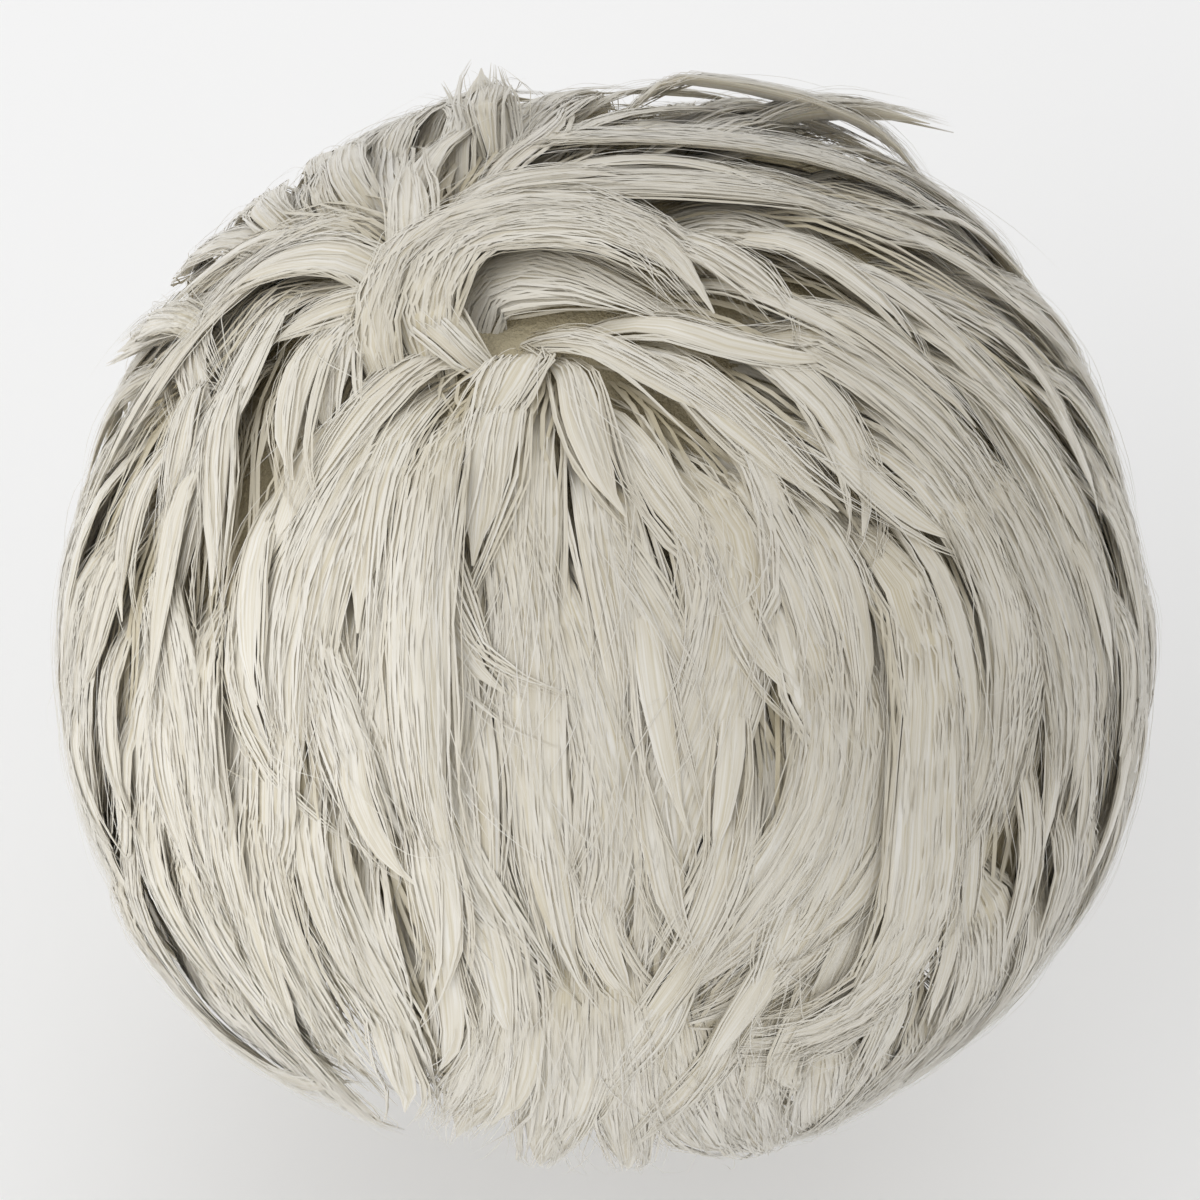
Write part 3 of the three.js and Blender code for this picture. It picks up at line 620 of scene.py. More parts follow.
class Fibres:
    """Ribbons and strands as closed three-sided tubes, gathered for one mesh"""

    RING = 3
    KNOTS = 8
    TURN_LIMIT = 1.1
    EVENNESS = 0.8
    CLUMP_WIDTH = 8 * MM
    END_SCATTER = 0.03
    TURN_SCATTER = 0.1
    GATHER = 0.65
    ROOT_HEIGHT = 0.5
    SPREAD_DEPTH = 0.4
    TIP_SPLIT = 2
    WAVE_LENGTH = 50 * MM
    FRIZZ_LENGTH = 23 * MM
    TONE_SHARES = (0.35, 0.35, 0.3)
    SUNK_SHADE = 0.2
    SIDE_SHADE = 0.25
    SIDE_TURN = (0.8, 1.7)
    SIZES = (0.75, 1.25)
    STRAY_BEGIN = (0.05, 0.6)
    STRAY_LENGTH = (0.3, 0.5)
    STRAY_HOP = (0.2, 1.0)

    def __init__(self, middle):
        self.middle = middle
        self.batches = []

    def comb(self, lock, count, style, rng):
        """Strands gathered in clumps over the outer face of a lock"""
        run = np.linspace(0, 1, self.KNOTS)
        clumps = max(2, round(style.clumps * float(lock.half_width.max()) / self.CLUMP_WIDTH))
        clump = rng.integers(0, clumps, count)
        begin = rng.uniform(*style.begin, count)
        end = np.minimum(1, rng.uniform(*style.end, clumps)[clump] + rng.normal(0, self.END_SCATTER, count))
        share = begin[:, None] + (end - begin)[:, None] * run
        centre, side, outward, half_width, half_thickness = lock.at(share)
        turn = np.linspace(-1, 1, clumps) * style.wrap + rng.normal(0, self.TURN_SCATTER, clumps)
        gather = 1 - self.GATHER * share ** 1.5
        phi = turn[clump][:, None] + rng.normal(0, style.fan, count)[:, None] * gather
        height = rng.uniform(*style.rise, count)
        swell = self.ROOT_HEIGHT + (height[:, None] - self.ROOT_HEIGHT) * ease(run, 0, 0.2)
        wide = np.hypot(half_width, style.spread)
        thick = np.hypot(half_thickness, self.SPREAD_DEPTH * style.spread)
        phase = rng.uniform(0, 2 * math.pi, clumps)[clump][:, None]
        lean = rng.normal(0, 1, clumps)[clump][:, None]
        bend = lean * self.TIP_SPLIT * style.spread * ease(share, 0.55, 1)
        far = share * lock.length
        wave = bend + 0.5 * style.wave * np.sin(far / self.WAVE_LENGTH * 2 * math.pi + phase)
        own = rng.uniform(0, 2 * math.pi, count)[:, None]
        frizz = style.frizz * np.sin(far / self.FRIZZ_LENGTH * 2 * math.pi + own)
        spill = rng.normal(0, style.spill, count)[:, None] * wide * ease(share, 0.15, 0.7)
        across = np.sin(phi) * wide * swell + spill + wave + frizz
        above = np.cos(phi) * thick * swell + 0.4 * frizz
        places = centre + side * across[..., None] + outward * above[..., None]
        near = np.clip(phi, -self.TURN_LIMIT, self.TURN_LIMIT)
        facing = side * (np.sin(near) / wide)[..., None] + outward * (np.cos(near) / thick)[..., None]
        of_lock, of_clump, of_strand = self.TONE_SHARES
        tone = (of_lock * rng.uniform() + of_clump * rng.uniform(0, 1, clumps)[clump]
                + of_strand * rng.uniform(0, 1, count))
        # Painted shade: strands that lie lower and strands on the flanks of the lock are mixed towards the
        # khaki, on top of the style's own painted shade
        low, high = style.rise
        sunk_shade = self.SUNK_SHADE * (high - height) / (high - low)
        beside = self.SIDE_SHADE * ease(np.abs(phi), *self.SIDE_TURN)
        painted_shade = np.clip(style.depth + sunk_shade[:, None] + beside, 0, 1)
        self.add(places, facing, style, tone, share, painted_shade, rng)

    def stray(self, lock, count, style, rng):
        """Loose single strands that leave a lock sideways and outwards"""
        run = np.linspace(0, 1, self.KNOTS)
        begin = rng.uniform(*self.STRAY_BEGIN, count)
        end = np.minimum(1, begin + rng.uniform(*self.STRAY_LENGTH, count))
        share = begin[:, None] + (end - begin)[:, None] * run
        centre, side, outward, half_width, half_thickness = lock.at(share)
        veer = rng.normal(0, style.spread, count)[:, None] * run ** 1.6
        hop = rng.uniform(*self.STRAY_HOP, count)[:, None] * style.wave * np.sin(run * 2.6)
        across = rng.uniform(-0.9, 0.9, count)[:, None] * half_width + veer
        places = centre + side * across[..., None] + outward * (half_thickness * 0.95 + hop)[..., None]
        self.add(places, outward, style, rng.uniform(0, 1, count), share, np.zeros(share.shape), rng)

    def add(self, places, facing, style, tone, share, painted_shade, rng):
        tangent = unit(np.gradient(places, axis=1))
        side = unit(np.cross(tangent, facing))
        outward = np.cross(side, tangent)
        taper = eased(STRAND_TAPER, np.linspace(0, 1, self.KNOTS))
        size = rng.uniform(*self.SIZES, len(places))[:, None] * taper
        wide, thick = style.width / 2 * size, style.width * style.flatness / 2 * size
        ring = np.arange(self.RING) / self.RING * 2 * math.pi + math.pi / 2
        corners = (places[:, :, None] + side[:, :, None] * (np.cos(ring) * wide[..., None])[..., None]
                   + outward[:, :, None] * (np.sin(ring) * thick[..., None])[..., None])
        normals = unit(unit(facing) * (1 - self.EVENNESS) + unit(places - self.middle) * self.EVENNESS)
        tone = np.broadcast_to(tone[:, None], share.shape)
        # The fibre attribute holds tone, share along, painted shade, and one
        values = np.stack([tone, share, painted_shade, np.ones(share.shape)], axis=-1)
        fibre = np.repeat(values[:, :, None], self.RING, axis=2)
        self.batches.append((corners, fibre, normals))

    def build(self, name, finish):
        corners, fibre, normals = (np.concatenate([batch[i] for batch in self.batches]) for i in range(3))
        piece = tube_object(name, corners, fibre, finish)
        self.shade(piece.data, normals)
        return piece

    def shade(self, mesh, normals):
        """Strands take the shading of the lock that they lie on: two faces look out, the third in"""
        side = np.array([1, -1, 1])[None, None, :, None, None]
        pair = np.stack([normals[:, :-1], normals[:, 1:], normals[:, 1:], normals[:, :-1]], axis=2)
        walls = (pair[:, :, None] * side).reshape(-1, 3)
        ends = np.concatenate([np.repeat(normals[:, at], self.RING, axis=0) for at in (0, -1)])
        mesh.normals_split_custom_set(np.concatenate([walls, ends]))


def tube_object(name, corners, fibre, finish, girth=1.0):
    """One object of closed tubes from corners (tube, station, ring, 3) and their fibre values. The map
    Along runs girth once round a tube, and metres along it."""
    count, stations, ring = corners.shape[:3]
    base = (np.arange(count) * stations * ring)[:, None, None]
    row = (np.arange(stations - 1) * ring)[None, :, None]
    corner = np.arange(ring)[None, None, :]
    after = (corner + 1) % ring
    a, b = base + row + corner, base + row + after
    quads = np.stack([a, a + ring, b + ring, b], axis=-1).reshape(-1, 4)
    first = base[:, 0] + np.arange(ring)
    ends = np.concatenate([first, first[:, ::-1] + (stations - 1) * ring])
    loops = np.concatenate([quads.ravel(), ends.ravel()])
    starts = np.concatenate([np.arange(len(quads)) * 4, len(quads) * 4 + np.arange(len(ends)) * ring])
    length = np.linalg.norm(np.diff(corners.mean(axis=2), axis=1), axis=2).cumsum(axis=1)
    length = np.concatenate([np.zeros((count, 1)), length], axis=1)
    u = np.stack([corner, corner, corner + 1, corner + 1], axis=-1) / ring * np.reshape(girth, (-1, 1, 1, 1))
    v = np.stack([length[:, :-1], length[:, 1:], length[:, 1:], length[:, :-1]], axis=-1)[:, :, None]
    u, v = np.broadcast_arrays(u + np.arange(count)[:, None, None, None], v)
    uvs = np.concatenate([np.stack([u, v], axis=-1).reshape(-1, 2), np.zeros((ends.size, 2))])
    mesh = bpy.data.meshes.new(name)
    mesh.vertices.add(corners.size // 3)
    mesh.vertices.foreach_set("co", corners.astype(np.float32).ravel())
    mesh.loops.add(len(loops))
    mesh.loops.foreach_set("vertex_index", loops.astype(np.int32))
    mesh.polygons.add(len(starts))
    mesh.polygons.foreach_set("loop_start", starts.astype(np.int32))
    mesh.polygons.foreach_set("use_smooth", np.ones(len(starts), bool))
    mesh.update(calc_edges=True)
    mesh.uv_layers.new(name="Along").data.foreach_set("uv", uvs.astype(np.float32).ravel())
    colors = mesh.attributes.new("fibre", "FLOAT_COLOR", "POINT").data
    colors.foreach_set("color", fibre.astype(np.float32).ravel())
    mesh.validate()
    mesh.materials.append(finish)
    piece = bpy.data.objects.new(name, mesh)
    bpy.context.scene.collection.objects.link(piece)
    return piece


BODY_WIDTH = 0.94
BODY_THICKNESS = 0.93
BODY_EVENNESS = 0.6
BODY_GIRTH = 8 * MM
BODY_FLUTE = 0.02
BODY_FLUTES = (4, 7)
BODY_TWIST = 1.5
BODY_TONES = (0.2, 0.7)
BODY_CLOSING = ((0, 0.08), (0.3, 0.8), (0.55, 1.0), (0.8, 0.75), (1, 0.08))


# Stations and corners of a body, and the share of its lock that it fills
Body = namedtuple("Body", "knots ring end")
LOCK_BODY = Body(18, 16, 0.93)
WISP_BODY = Body(12, 10, 0.84)


def lock_bodies(name, locks, body, middle, rng):
    """Fluted bodies under the ribbons, slimmer and shorter than the locks themselves"""
    knots, ring = body.knots, body.ring
    share = np.broadcast_to(np.linspace(0, body.end, knots), (1, knots))
    stations = [lock.at(share) for lock in locks]
    centre, side, outward, wide, thick = (np.concatenate([s[i] for s in stations]) for i in range(5))
    turn = np.arange(ring) / ring * 2 * math.pi + math.pi / 2
    waves = rng.integers(*BODY_FLUTES, len(locks))[:, None, None]
    phase = rng.uniform(0, 2 * math.pi, (len(locks), 1, 1))
    twist = np.linspace(0, BODY_TWIST, knots)[None, :, None]
    closing = eased(BODY_CLOSING, np.linspace(0, 1, knots))[None, :, None]
    flute = ((1 + BODY_FLUTE * np.sin(waves * turn + phase + twist)) * closing)[..., None]
    across, above = np.cos(turn)[..., None], np.sin(turn)[..., None]
    side, outward = side[:, :, None], outward[:, :, None]
    wide, thick = wide[..., None, None], thick[..., None, None]
    corners = (centre[:, :, None] + side * across * wide * BODY_WIDTH * flute
               + outward * above * thick * BODY_THICKNESS * flute)
    facing, radial = unit(side * across * thick + outward * above * wide), unit(corners - middle)
    even = BODY_EVENNESS * ease((facing * radial).sum(axis=-1, keepdims=True), -0.2, 0.5)
    tone = np.broadcast_to(rng.uniform(*BODY_TONES, (len(locks), 1, 1)), corners.shape[:3])
    along = np.broadcast_to(share[..., None], tone.shape)
    fibre = np.stack([tone, along, np.zeros(tone.shape), np.ones(tone.shape)], axis=-1)
    piece = tube_object(name, corners, fibre, bpy.data.materials["lock_hair"], wide.max(axis=1) / BODY_GIRTH)
    shading = unit(facing * (1 - even) + radial * even)
    piece.data.normals_split_custom_set_from_vertices(shading.reshape(-1, 3))
    return piece


# Width and flatness of a strand, clumps, where strands begin and end, their height over the body, how
# far they wrap round it, their fan within a clump, spill and spread to the sides, wave, frizz and depth,
# which is painted shade towards the khaki
Style = namedtuple("Style", "width flatness clumps begin end rise wrap fan spill spread wave frizz depth")


def styles(sizes):
    """How each kind of fibre lies on its lock"""
    ribbon, strand = sizes.ribbon_width, sizes.strand_width
    return {
        "main": Style(ribbon, 0.2, 6, (0, 0.12), (0.8, 1.0), (0.96, 1.03), 1.4, 0.35, 0.1,
                      1.8 * MM, 1.0 * MM, 0.1 * MM, 0.0),
        "stream": Style(0.8 * ribbon, 0.2, 5, (0, 0.15), (0.8, 1.0), (0.94, 1.04), 1.3, 0.4, 0.12,
                        1.4 * MM, 1.0 * MM, 0.1 * MM, 0.0),
        # The under wisps lie beneath the others and carry painted shade (depth 0.45)
        "under": Style(1.2 * ribbon, 0.2, 4, (0, 0.15), (0.8, 1.0), (0.7, 1.0), 1.3, 0.45, 0.2,
                       3 * MM, 2 * MM, 0.3 * MM, 0.45),
        "over": Style(0.6 * ribbon, 0.2, 5, (0, 0.2), (0.75, 1.0), (0.98, 1.12), 1.4, 0.35, 0.12,
                      1.5 * MM, 1.4 * MM, 0.15 * MM, 0.0),
        "fine": Style(strand, 0.5, 5, (0, 0.35), (0.86, 1.0), (1.0, 1.12), 1.5, 0.3, 0.3,
                      2.2 * MM, 1.4 * MM, 0.5 * MM, 0.0),
        "stray": Style(0.8 * strand, 0.5, 1, (0, 1), (0, 1), (1, 1), 1, 1, 0, 9 * MM, 2 * MM, 0, 0.0),
    }


# Materials

def new_group(name, inputs, outputs):
    group = bpy.data.node_groups.new(name, "ShaderNodeTree")
    for label, kind, default in inputs:
        group.interface.new_socket(label, in_out="INPUT", socket_type=kind).default_value = default
    for label, kind in outputs:
        group.interface.new_socket(label, in_out="OUTPUT", socket_type=kind)
    return group, group.nodes.new("NodeGroupInput"), group.nodes.new("NodeGroupOutput")


def mix_node(nodes):
    """A colour mix with its factor, two colours and result as a tuple"""
    node = nodes.new("ShaderNodeMix")
    node.data_type = "RGBA"
    return node.inputs[0], node.inputs[6], node.inputs[7], node.outputs[2]


def range_node(nodes, from_min, from_max, to_min, to_max):
    node = nodes.new("ShaderNodeMapRange")
    limits = {"From Min": from_min, "From Max": from_max, "To Min": to_min, "To Max": to_max}
    for label, value in limits.items():
        node.inputs[label].default_value = value
    return node.inputs["Value"], node.outputs["Result"]


def math_node(nodes, operation, value=None):
    node = nodes.new("ShaderNodeMath")
    node.operation = operation
    if value is not None:
        node.inputs[1].default_value = value
    return node.inputs[0], node.inputs[1], node.outputs[0]


def fibre_group():
    """Silky fibre colour: tone, painted shade at the root and by depth, and fine lines along it"""
    group, given, result = new_group("Silky fibre", (
        ("Light", "NodeSocketColor", (0.8, 0.8, 0.75, 1)),
        ("Warm", "NodeSocketColor", (0.75, 0.72, 0.62, 1)),
        ("Painted Shade", "NodeSocketColor", (0.55, 0.5, 0.38, 1)),
        ("Lines", "NodeSocketFloat", 12.0),
        ("Line Depth", "NodeSocketFloat", 0.3),
    ), (("Color", "NodeSocketColor"), ("Roughness", "NodeSocketFloat")))
    nodes, link = group.nodes, group.links.new
    fibre = nodes.new("ShaderNodeAttribute")
    fibre.attribute_name = "fibre"
    parts = nodes.new("ShaderNodeSeparateColor")
    link(fibre.outputs["Color"], parts.inputs["Color"])
    tone, along, depth = parts.outputs["Red"], parts.outputs["Green"], parts.outputs["Blue"]
    factor, light, warm, toned = mix_node(nodes)
    link(tone, factor)
    link(given.outputs["Light"], light)
    link(given.outputs["Warm"], warm)
    # Painted shade at the root: up to 0.4 towards the khaki over the first 0.4 of the length
    value, root = range_node(nodes, 0.4, 0.0, 0.0, 0.4)
    link(along, value)
    first, second, shaded = math_node(nodes, "ADD")
    link(root, first)
    link(depth, second)
    uv = nodes.new("ShaderNodeUVMap")
    uv.uv_map = "Along"
    stretch = nodes.new("ShaderNodeCombineXYZ")
    split = nodes.new("ShaderNodeSeparateXYZ")
    link(uv.outputs["UV"], split.inputs[0])
    first, second, across = math_node(nodes, "MULTIPLY")
    link(split.outputs["X"], first)
    link(given.outputs["Lines"], second)
    first, _, down = math_node(nodes, "MULTIPLY", 25.0)
    link(split.outputs["Y"], first)
    link(across, stretch.inputs["X"])
    link(down, stretch.inputs["Y"])
    noise = nodes.new("ShaderNodeTexNoise")
    noise.inputs["Scale"].default_value = 1.0
    noise.inputs["Detail"].default_value = 4.0
    link(stretch.outputs[0], noise.inputs["Vector"])
    value, lines = range_node(nodes, 0.35, 0.65, 0.0, 1.0)
    link(noise.outputs["Fac"], value)
    first, second, lined = math_node(nodes, "MULTIPLY")
    link(lines, first)
    link(given.outputs["Line Depth"], second)
    first, second, shade_and_lines = math_node(nodes, "ADD")
    link(shaded, first)
    link(lined, second)
    factor, base, painted_shade, color = mix_node(nodes)
    link(shade_and_lines, factor)
    link(toned, base)
    link(given.outputs["Painted Shade"], painted_shade)
    link(color, result.inputs["Color"])
    value, rough = range_node(nodes, 0.0, 1.0, 0.27, 0.42)
    link(lines, value)
    link(rough, result.inputs["Roughness"])
    return group


def new_material(name):
    material = bpy.data.materials.new(name)
    material.use_nodes = True
    return material, material.node_tree.nodes, material.node_tree.links.new


def hair_material(name, colors, lines, line_depth):
    """Silky fibre with its own fineness and depth of lines"""
    material, nodes, link = new_material(name)
    surface = nodes["Principled BSDF"]
    fibre = nodes.new("ShaderNodeGroup")
    fibre.node_tree = bpy.data.node_groups["Silky fibre"]
    for label, value in (("Light", (*colors.hair_light, 1)), ("Warm", (*colors.hair_warm, 1)),
                         ("Painted Shade", (*colors.hair_painted_shade, 1)), ("Lines", lines), ("Line Depth", line_depth)):
        fibre.inputs[label].default_value = value
    link(fibre.outputs["Color"], surface.inputs["Base Color"])
    link(fibre.outputs["Roughness"], surface.inputs["Roughness"])
    surface.inputs["IOR"].default_value = 1.5
    surface.inputs["Sheen Weight"].default_value = 0.3
    return material


def backing_material(colors):
    """Packed hair deep in the wig, matt and streaked down the head, coloured khaki as painted shade"""
    material, nodes, link = new_material("packed_hair_painted_shade")
    surface = nodes["Principled BSDF"]
    place = nodes.new("ShaderNodeTexCoord")
    stretch = nodes.new("ShaderNodeMapping")
    stretch.inputs["Scale"].default_value = (900, 900, 120)
    link(place.outputs["Object"], stretch.inputs["Vector"])
    noise = nodes.new("ShaderNodeTexNoise")
    noise.inputs["Scale"].default_value = 1.0
    noise.inputs["Detail"].default_value = 4.0
    link(stretch.outputs[0], noise.inputs["Vector"])
    factor, first, second, shade = mix_node(nodes)
    first.default_value = (*[0.85 * c for c in colors.hair_painted_shade], 1)
    second.default_value = (*colors.hair_painted_shade, 1)
    link(noise.outputs["Fac"], factor)
    link(shade, surface.inputs["Base Color"])
    bump = nodes.new("ShaderNodeBump")
    bump.inputs["Distance"].default_value = 0.8 * MM
    link(noise.outputs["Fac"], bump.inputs["Height"])
    link(bump.outputs["Normal"], surface.inputs["Normal"])
    surface.inputs["Roughness"].default_value = 0.8
    return material


def cap_material(colors):
    """Elastic net of fine cells"""
    material, nodes, link = new_material("elastic_net")
    surface = nodes["Principled BSDF"]
    place = nodes.new("ShaderNodeTexCoord")
    weave = nodes.new("ShaderNodeTexVoronoi")
    weave.inputs["Scale"].default_value = 700.0
    link(place.outputs["Object"], weave.inputs["Vector"])
    factor, first, second, shade = mix_node(nodes)
    first.default_value = (*[0.7 * c for c in colors.cap_net], 1)
    second.default_value = (*colors.cap_net, 1)
    link(weave.outputs["Distance"], factor)
    link(shade, surface.inputs["Base Color"])
    bump = nodes.new("ShaderNodeBump")
    bump.inputs["Strength"].default_value = 0.5
    bump.inputs["Distance"].default_value = 0.3 * MM
    link(weave.outputs["Distance"], bump.inputs["Height"])
    link(bump.outputs["Normal"], surface.inputs["Normal"])
    surface.inputs["Roughness"].default_value = 0.85
    return material


def floor_material(colors):
    """Pale studio paper with a faint grain"""
    material, nodes, link = new_material("studio_floor")
    surface = nodes["Principled BSDF"]
    place = nodes.new("ShaderNodeTexCoord")
    noise = nodes.new("ShaderNodeTexNoise")
    noise.inputs["Scale"].default_value = 3.0
    link(place.outputs["Object"], noise.inputs["Vector"])
    factor, first, second, shade = mix_node(nodes)
    first.default_value = (*colors.floor, 1)
    second.default_value = (*[0.98 * c for c in colors.floor], 1)
    link(noise.outputs["Fac"], factor)
    link(shade, surface.inputs["Base Color"])
    surface.inputs["Roughness"].default_value = 0.9
    return material


# Operators

Lamp = namedtuple("Lamp", "name place size power")


class WIG_OT_stage(bpy.types.Operator):
    """Camera at the photograph's angle, a pale floor and soft studio light"""
    bl_idname = "wig.stage"
    bl_label = "Stage"

    TARGET = Vector((-1.0, 1.4, -40.5)) * MM
    ELEVATION = math.radians(50)
    DISTANCE = 0.672
    LENS = 84
    FLOOR_GAP = 60 * MM
    SKY = 0.64
    LAMPS = (
        Lamp("key_light", (-1.7, -0.9, 0.6), 3.0, 36),
        Lamp("fill_light", (1.2, -0.6, 0.9), 1.2, 1.5),
        Lamp("back_light", (0.2, 1.3, 1.1), 1.2, 5),
    )

    def execute(self, context):
        view = Vector((0, math.cos(self.ELEVATION), -math.sin(self.ELEVATION)))
        bpy.ops.object.camera_add(location=self.TARGET - view * self.DISTANCE,
                                  rotation=view.to_track_quat("-Z", "Y").to_euler())
        camera = context.object
        camera.data.lens = self.LENS
        camera.data.sensor_width = 36
        context.scene.camera = camera
        bpy.ops.mesh.primitive_plane_add(size=6, location=(0, 0, CAD_BOX[0][2] - self.FLOOR_GAP))
        floor = context.object
        floor.name = "floor"
        floor.data.materials.append(floor_material(context.scene.wig_colors))
        for lamp in self.LAMPS:
            aim = (self.TARGET - Vector(lamp.place)).to_track_quat("-Z", "Y").to_euler()
            bpy.ops.object.light_add(type="AREA", location=lamp.place, rotation=aim)
            context.object.name = lamp.name
            context.object.data.size = lamp.size
            context.object.data.energy = lamp.power
        world = bpy.data.worlds.new("studio")
        world.use_nodes = True
        world.node_tree.nodes["Background"].inputs["Color"].default_value = (1, 1, 1, 1)
        world.node_tree.nodes["Background"].inputs["Strength"].default_value = self.SKY
        context.scene.world = world
        context.scene.view_settings.view_transform = "Standard"
        return {"FINISHED"}


def moved(piece, place):
    """Moves every vertex of a fresh primitive to place(x, y, z) and shades it smooth"""
    corners = np.empty(len(piece.data.vertices) * 3)
    piece.data.vertices.foreach_get("co", corners)
    x, y, z = corners.reshape(-1, 3).T
    piece.data.vertices.foreach_set("co", place(x, y, z).astype(np.float32).ravel())
    piece.data.update()
    bpy.ops.object.shade_smooth()


def folded_skin(name, segments, rows, place):
    """A sphere folded over at its edge to a closed wall; place(azimuth, share, outside)"""
    bpy.ops.object.select_all(action="DESELECT")
    height = 2 * rows + 1
    bpy.ops.mesh.primitive_uv_sphere_add(segments=segments, ring_count=height, radius=1)
    piece = bpy.context.object
    piece.name = piece.data.name = name

    def fold(x, y, z):
        row = np.round(np.arccos(np.clip(z, -1, 1)) / math.pi * height)
        return place(np.degrees(np.arctan2(x, -y)), np.minimum(row, height - row) / rows, row <= rows)

    moved(piece, fold)
    return piece


def wall_patch(name, columns, rows, place):
    """A grid extruded to a closed wall; place(across, down, outside) with shares from 0 to 1"""
    bpy.ops.object.select_all(action="DESELECT")
    bpy.ops.mesh.primitive_grid_add(x_subdivisions=columns, y_subdivisions=rows, size=2)
    piece = bpy.context.object
    piece.name = piece.data.name = name
    bpy.ops.object.mode_set(mode="EDIT")
    bpy.ops.mesh.select_all(action="SELECT")
    bpy.ops.mesh.extrude_region_move(TRANSFORM_OT_translate={"value": (0, 0, 1)})
    bpy.ops.mesh.select_all(action="SELECT")
    bpy.ops.mesh.normals_make_consistent(inside=False)
    bpy.ops.object.mode_set(mode="OBJECT")
    moved(piece, lambda x, y, z: place(x / 2 + 0.5, 0.5 - y / 2, z > 0.5))
    return piece


class WIG_OT_cap(bpy.types.Operator):
    """Elastic net cap with its rows of wefts"""
    bl_idname = "wig.cap"
    bl_label = "Cap"

    SEGMENTS = 96
    ROWS = 32
    WEFT_STEP = 8
    WEFT_RIDGE = 0.35 * MM
    BAND = 0.94

    def execute(self, context):
        sizes = context.scene.wig_sizes
        form = HeadForm(sizes)

        def place(azimuth, share, outside):
            polar = share * edge_polar(CAP_EDGE, azimuth)
            weft = self.WEFT_RIDGE * (0.5 + 0.5 * np.cos(polar / self.WEFT_STEP * 2 * math.pi))
            band = ease(share, self.BAND, self.BAND + 0.02)
            return form.head_point(azimuth, polar, np.where(outside, sizes.cap_wall, weft * (1 - band)))

        cap = folded_skin("net_cap", self.SEGMENTS, self.ROWS, place)
        cap.data.materials.append(cap_material(context.scene.wig_colors))
        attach(cap, "root")
        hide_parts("cap")
        return {"FINISHED"}


shared = {}


def groom_of(context):
    """The groom is worked out once, when the first section asks for it, and shared by all"""
    if "groom" not in shared:
        shared["groom"] = Groom(HeadForm(context.scene.wig_sizes))
    return shared["groom"]


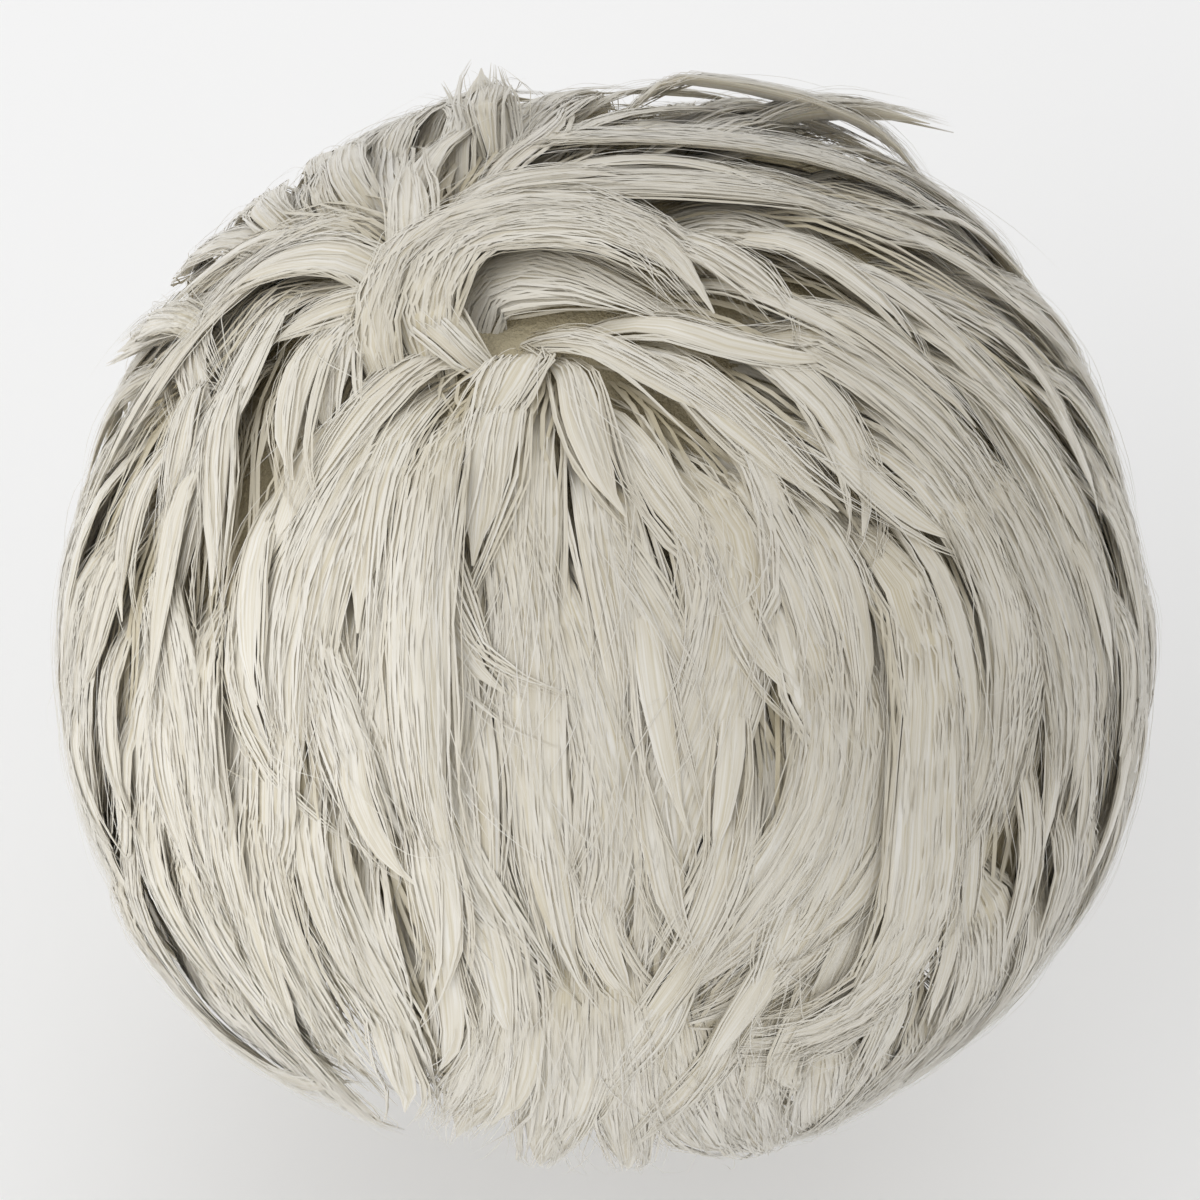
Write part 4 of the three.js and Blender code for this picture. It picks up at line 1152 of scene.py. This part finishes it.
class WIG_OT_section(bpy.types.Operator):
    """One section of hair: packed backing, bodies of the locks and wisps, ribbons and fine strands"""
    bl_idname = "wig.section"
    bl_label = "Hair section"

    section: bpy.props.StringProperty(
        name="Section", description="Name of the section", default="crown_hair")

    BACKING_STEP = 3
    SEED = 100
    PER_MM = {"main": 1.6, "stream": 2.1, "under": 0.5, "over": 2.0}
    FINE_PER_MM = {"main": 0.4, "stream": 1.0}
    STRAYS = {"main": 8, "stream": 12, "over": 4}

    def backing(self, form):
        area = AREAS[self.section]

        def place(azimuth, polar, outside):
            hem = edge_polar(HAIR_EDGE, azimuth)
            thinning = ease(polar - hem, -HEM_TAPER, 0)
            outer = form.hair_point(azimuth, polar, BACKING_SHARE + (HEM_SHARE - BACKING_SHARE) * thinning)
            inner = form.head_point(azimuth, polar, form.sizes.cap_wall + CAP_CLEARANCE)
            return np.where(outside[:, None], outer, inner)

        def patch(across, down, outside):
            azimuth = area.left + (area.right - area.left) * across
            bottom = np.minimum(area.bottom, edge_polar(HAIR_EDGE, azimuth))
            return place(azimuth, area.top + (bottom - area.top) * down, outside)

        name = self.section + "_backing"
        if area.top == 0:
            return folded_skin(name, 72, 10, lambda azimuth, share, outside:
                               place(azimuth, share * area.bottom, outside))
        columns = int((area.right - area.left) / self.BACKING_STEP)
        rows = int((area.bottom - area.top) / self.BACKING_STEP)
        return wall_patch(name, columns, rows, patch)

    def execute(self, context):
        name, groom = self.section, groom_of(context)
        rng = np.random.default_rng(self.SEED + list(AREAS).index(name))
        style = styles(groom.form.sizes)
        kinds = {"under": groom.under, "main": groom.mains, "stream": groom.streams, "over": groom.over}
        locks = {kind: [lock for lock in made if lock.section == name] for kind, made in kinds.items()}
        backing = self.backing(groom.form)
        backing.data.materials.append(bpy.data.materials["packed_hair_painted_shade"])
        middle = groom.form.middle
        bodies = lock_bodies(name + "_locks", locks["main"] + locks["stream"], LOCK_BODY, middle, rng)
        wisps = lock_bodies(name + "_wisps", locks["over"], WISP_BODY, middle, rng)
        ribbons, strands = Fibres(middle), Fibres(middle)
        for kind, made in locks.items():
            for lock in made:
                width = 2 * float(lock.half_width.max()) / MM
                batch = strands if kind == "over" else ribbons
                batch.comb(lock, max(4, round(self.PER_MM[kind] * width)), style[kind], rng)
                if kind in self.FINE_PER_MM:
                    strands.comb(lock, round(self.FINE_PER_MM[kind] * width), style["fine"], rng)
                if kind in self.STRAYS:
                    strands.stray(lock, self.STRAYS[kind], style["stray"], rng)
        pieces = [backing, bodies, wisps,
                  ribbons.build(name + "_ribbons", bpy.data.materials["ribbon_hair"]),
                  strands.build(name + "_strands", bpy.data.materials["strand_hair"])]
        for piece in pieces:
            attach(piece, "root")
        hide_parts(name)
        return {"FINISHED"}


class WIG_PT_panel(bpy.types.Panel):
    """Lists the pieces of the wig"""
    bl_idname = "WIG_PT_panel"
    bl_label = "Short Curly Wig"
    bl_space_type = "VIEW_3D"
    bl_region_type = "UI"
    bl_category = "Wig"

    def draw(self, context):
        self.layout.operator("wig.stage")
        self.layout.operator("wig.cap")
        for name in AREAS:
            self.layout.operator("wig.section", text=name.replace("_", " ")).section = name


CLASSES = (WigSizes, WigColors, WIG_OT_stage, WIG_OT_cap, WIG_OT_section, WIG_PT_panel)


def register():
    for cls in CLASSES:
        bpy.utils.register_class(cls)
    bpy.types.Scene.wig_sizes = bpy.props.PointerProperty(type=WigSizes)
    bpy.types.Scene.wig_colors = bpy.props.PointerProperty(type=WigColors)


def unregister():
    del bpy.types.Scene.wig_sizes
    del bpy.types.Scene.wig_colors
    for cls in reversed(CLASSES):
        bpy.utils.unregister_class(cls)


def main():
    register()
    colors = bpy.context.scene.wig_colors
    fibre_group()
    backing_material(colors)
    hair_material("lock_hair", colors, 55.0, 0.75)
    hair_material("ribbon_hair", colors, 8.0, 0.3)
    hair_material("strand_hair", colors, 6.0, 0.3)
    bpy.ops.wig.stage()
    bpy.ops.wig.cap()
    for name in AREAS:
        bpy.ops.wig.section(section=name)


if __name__ == "__main__":
    main()
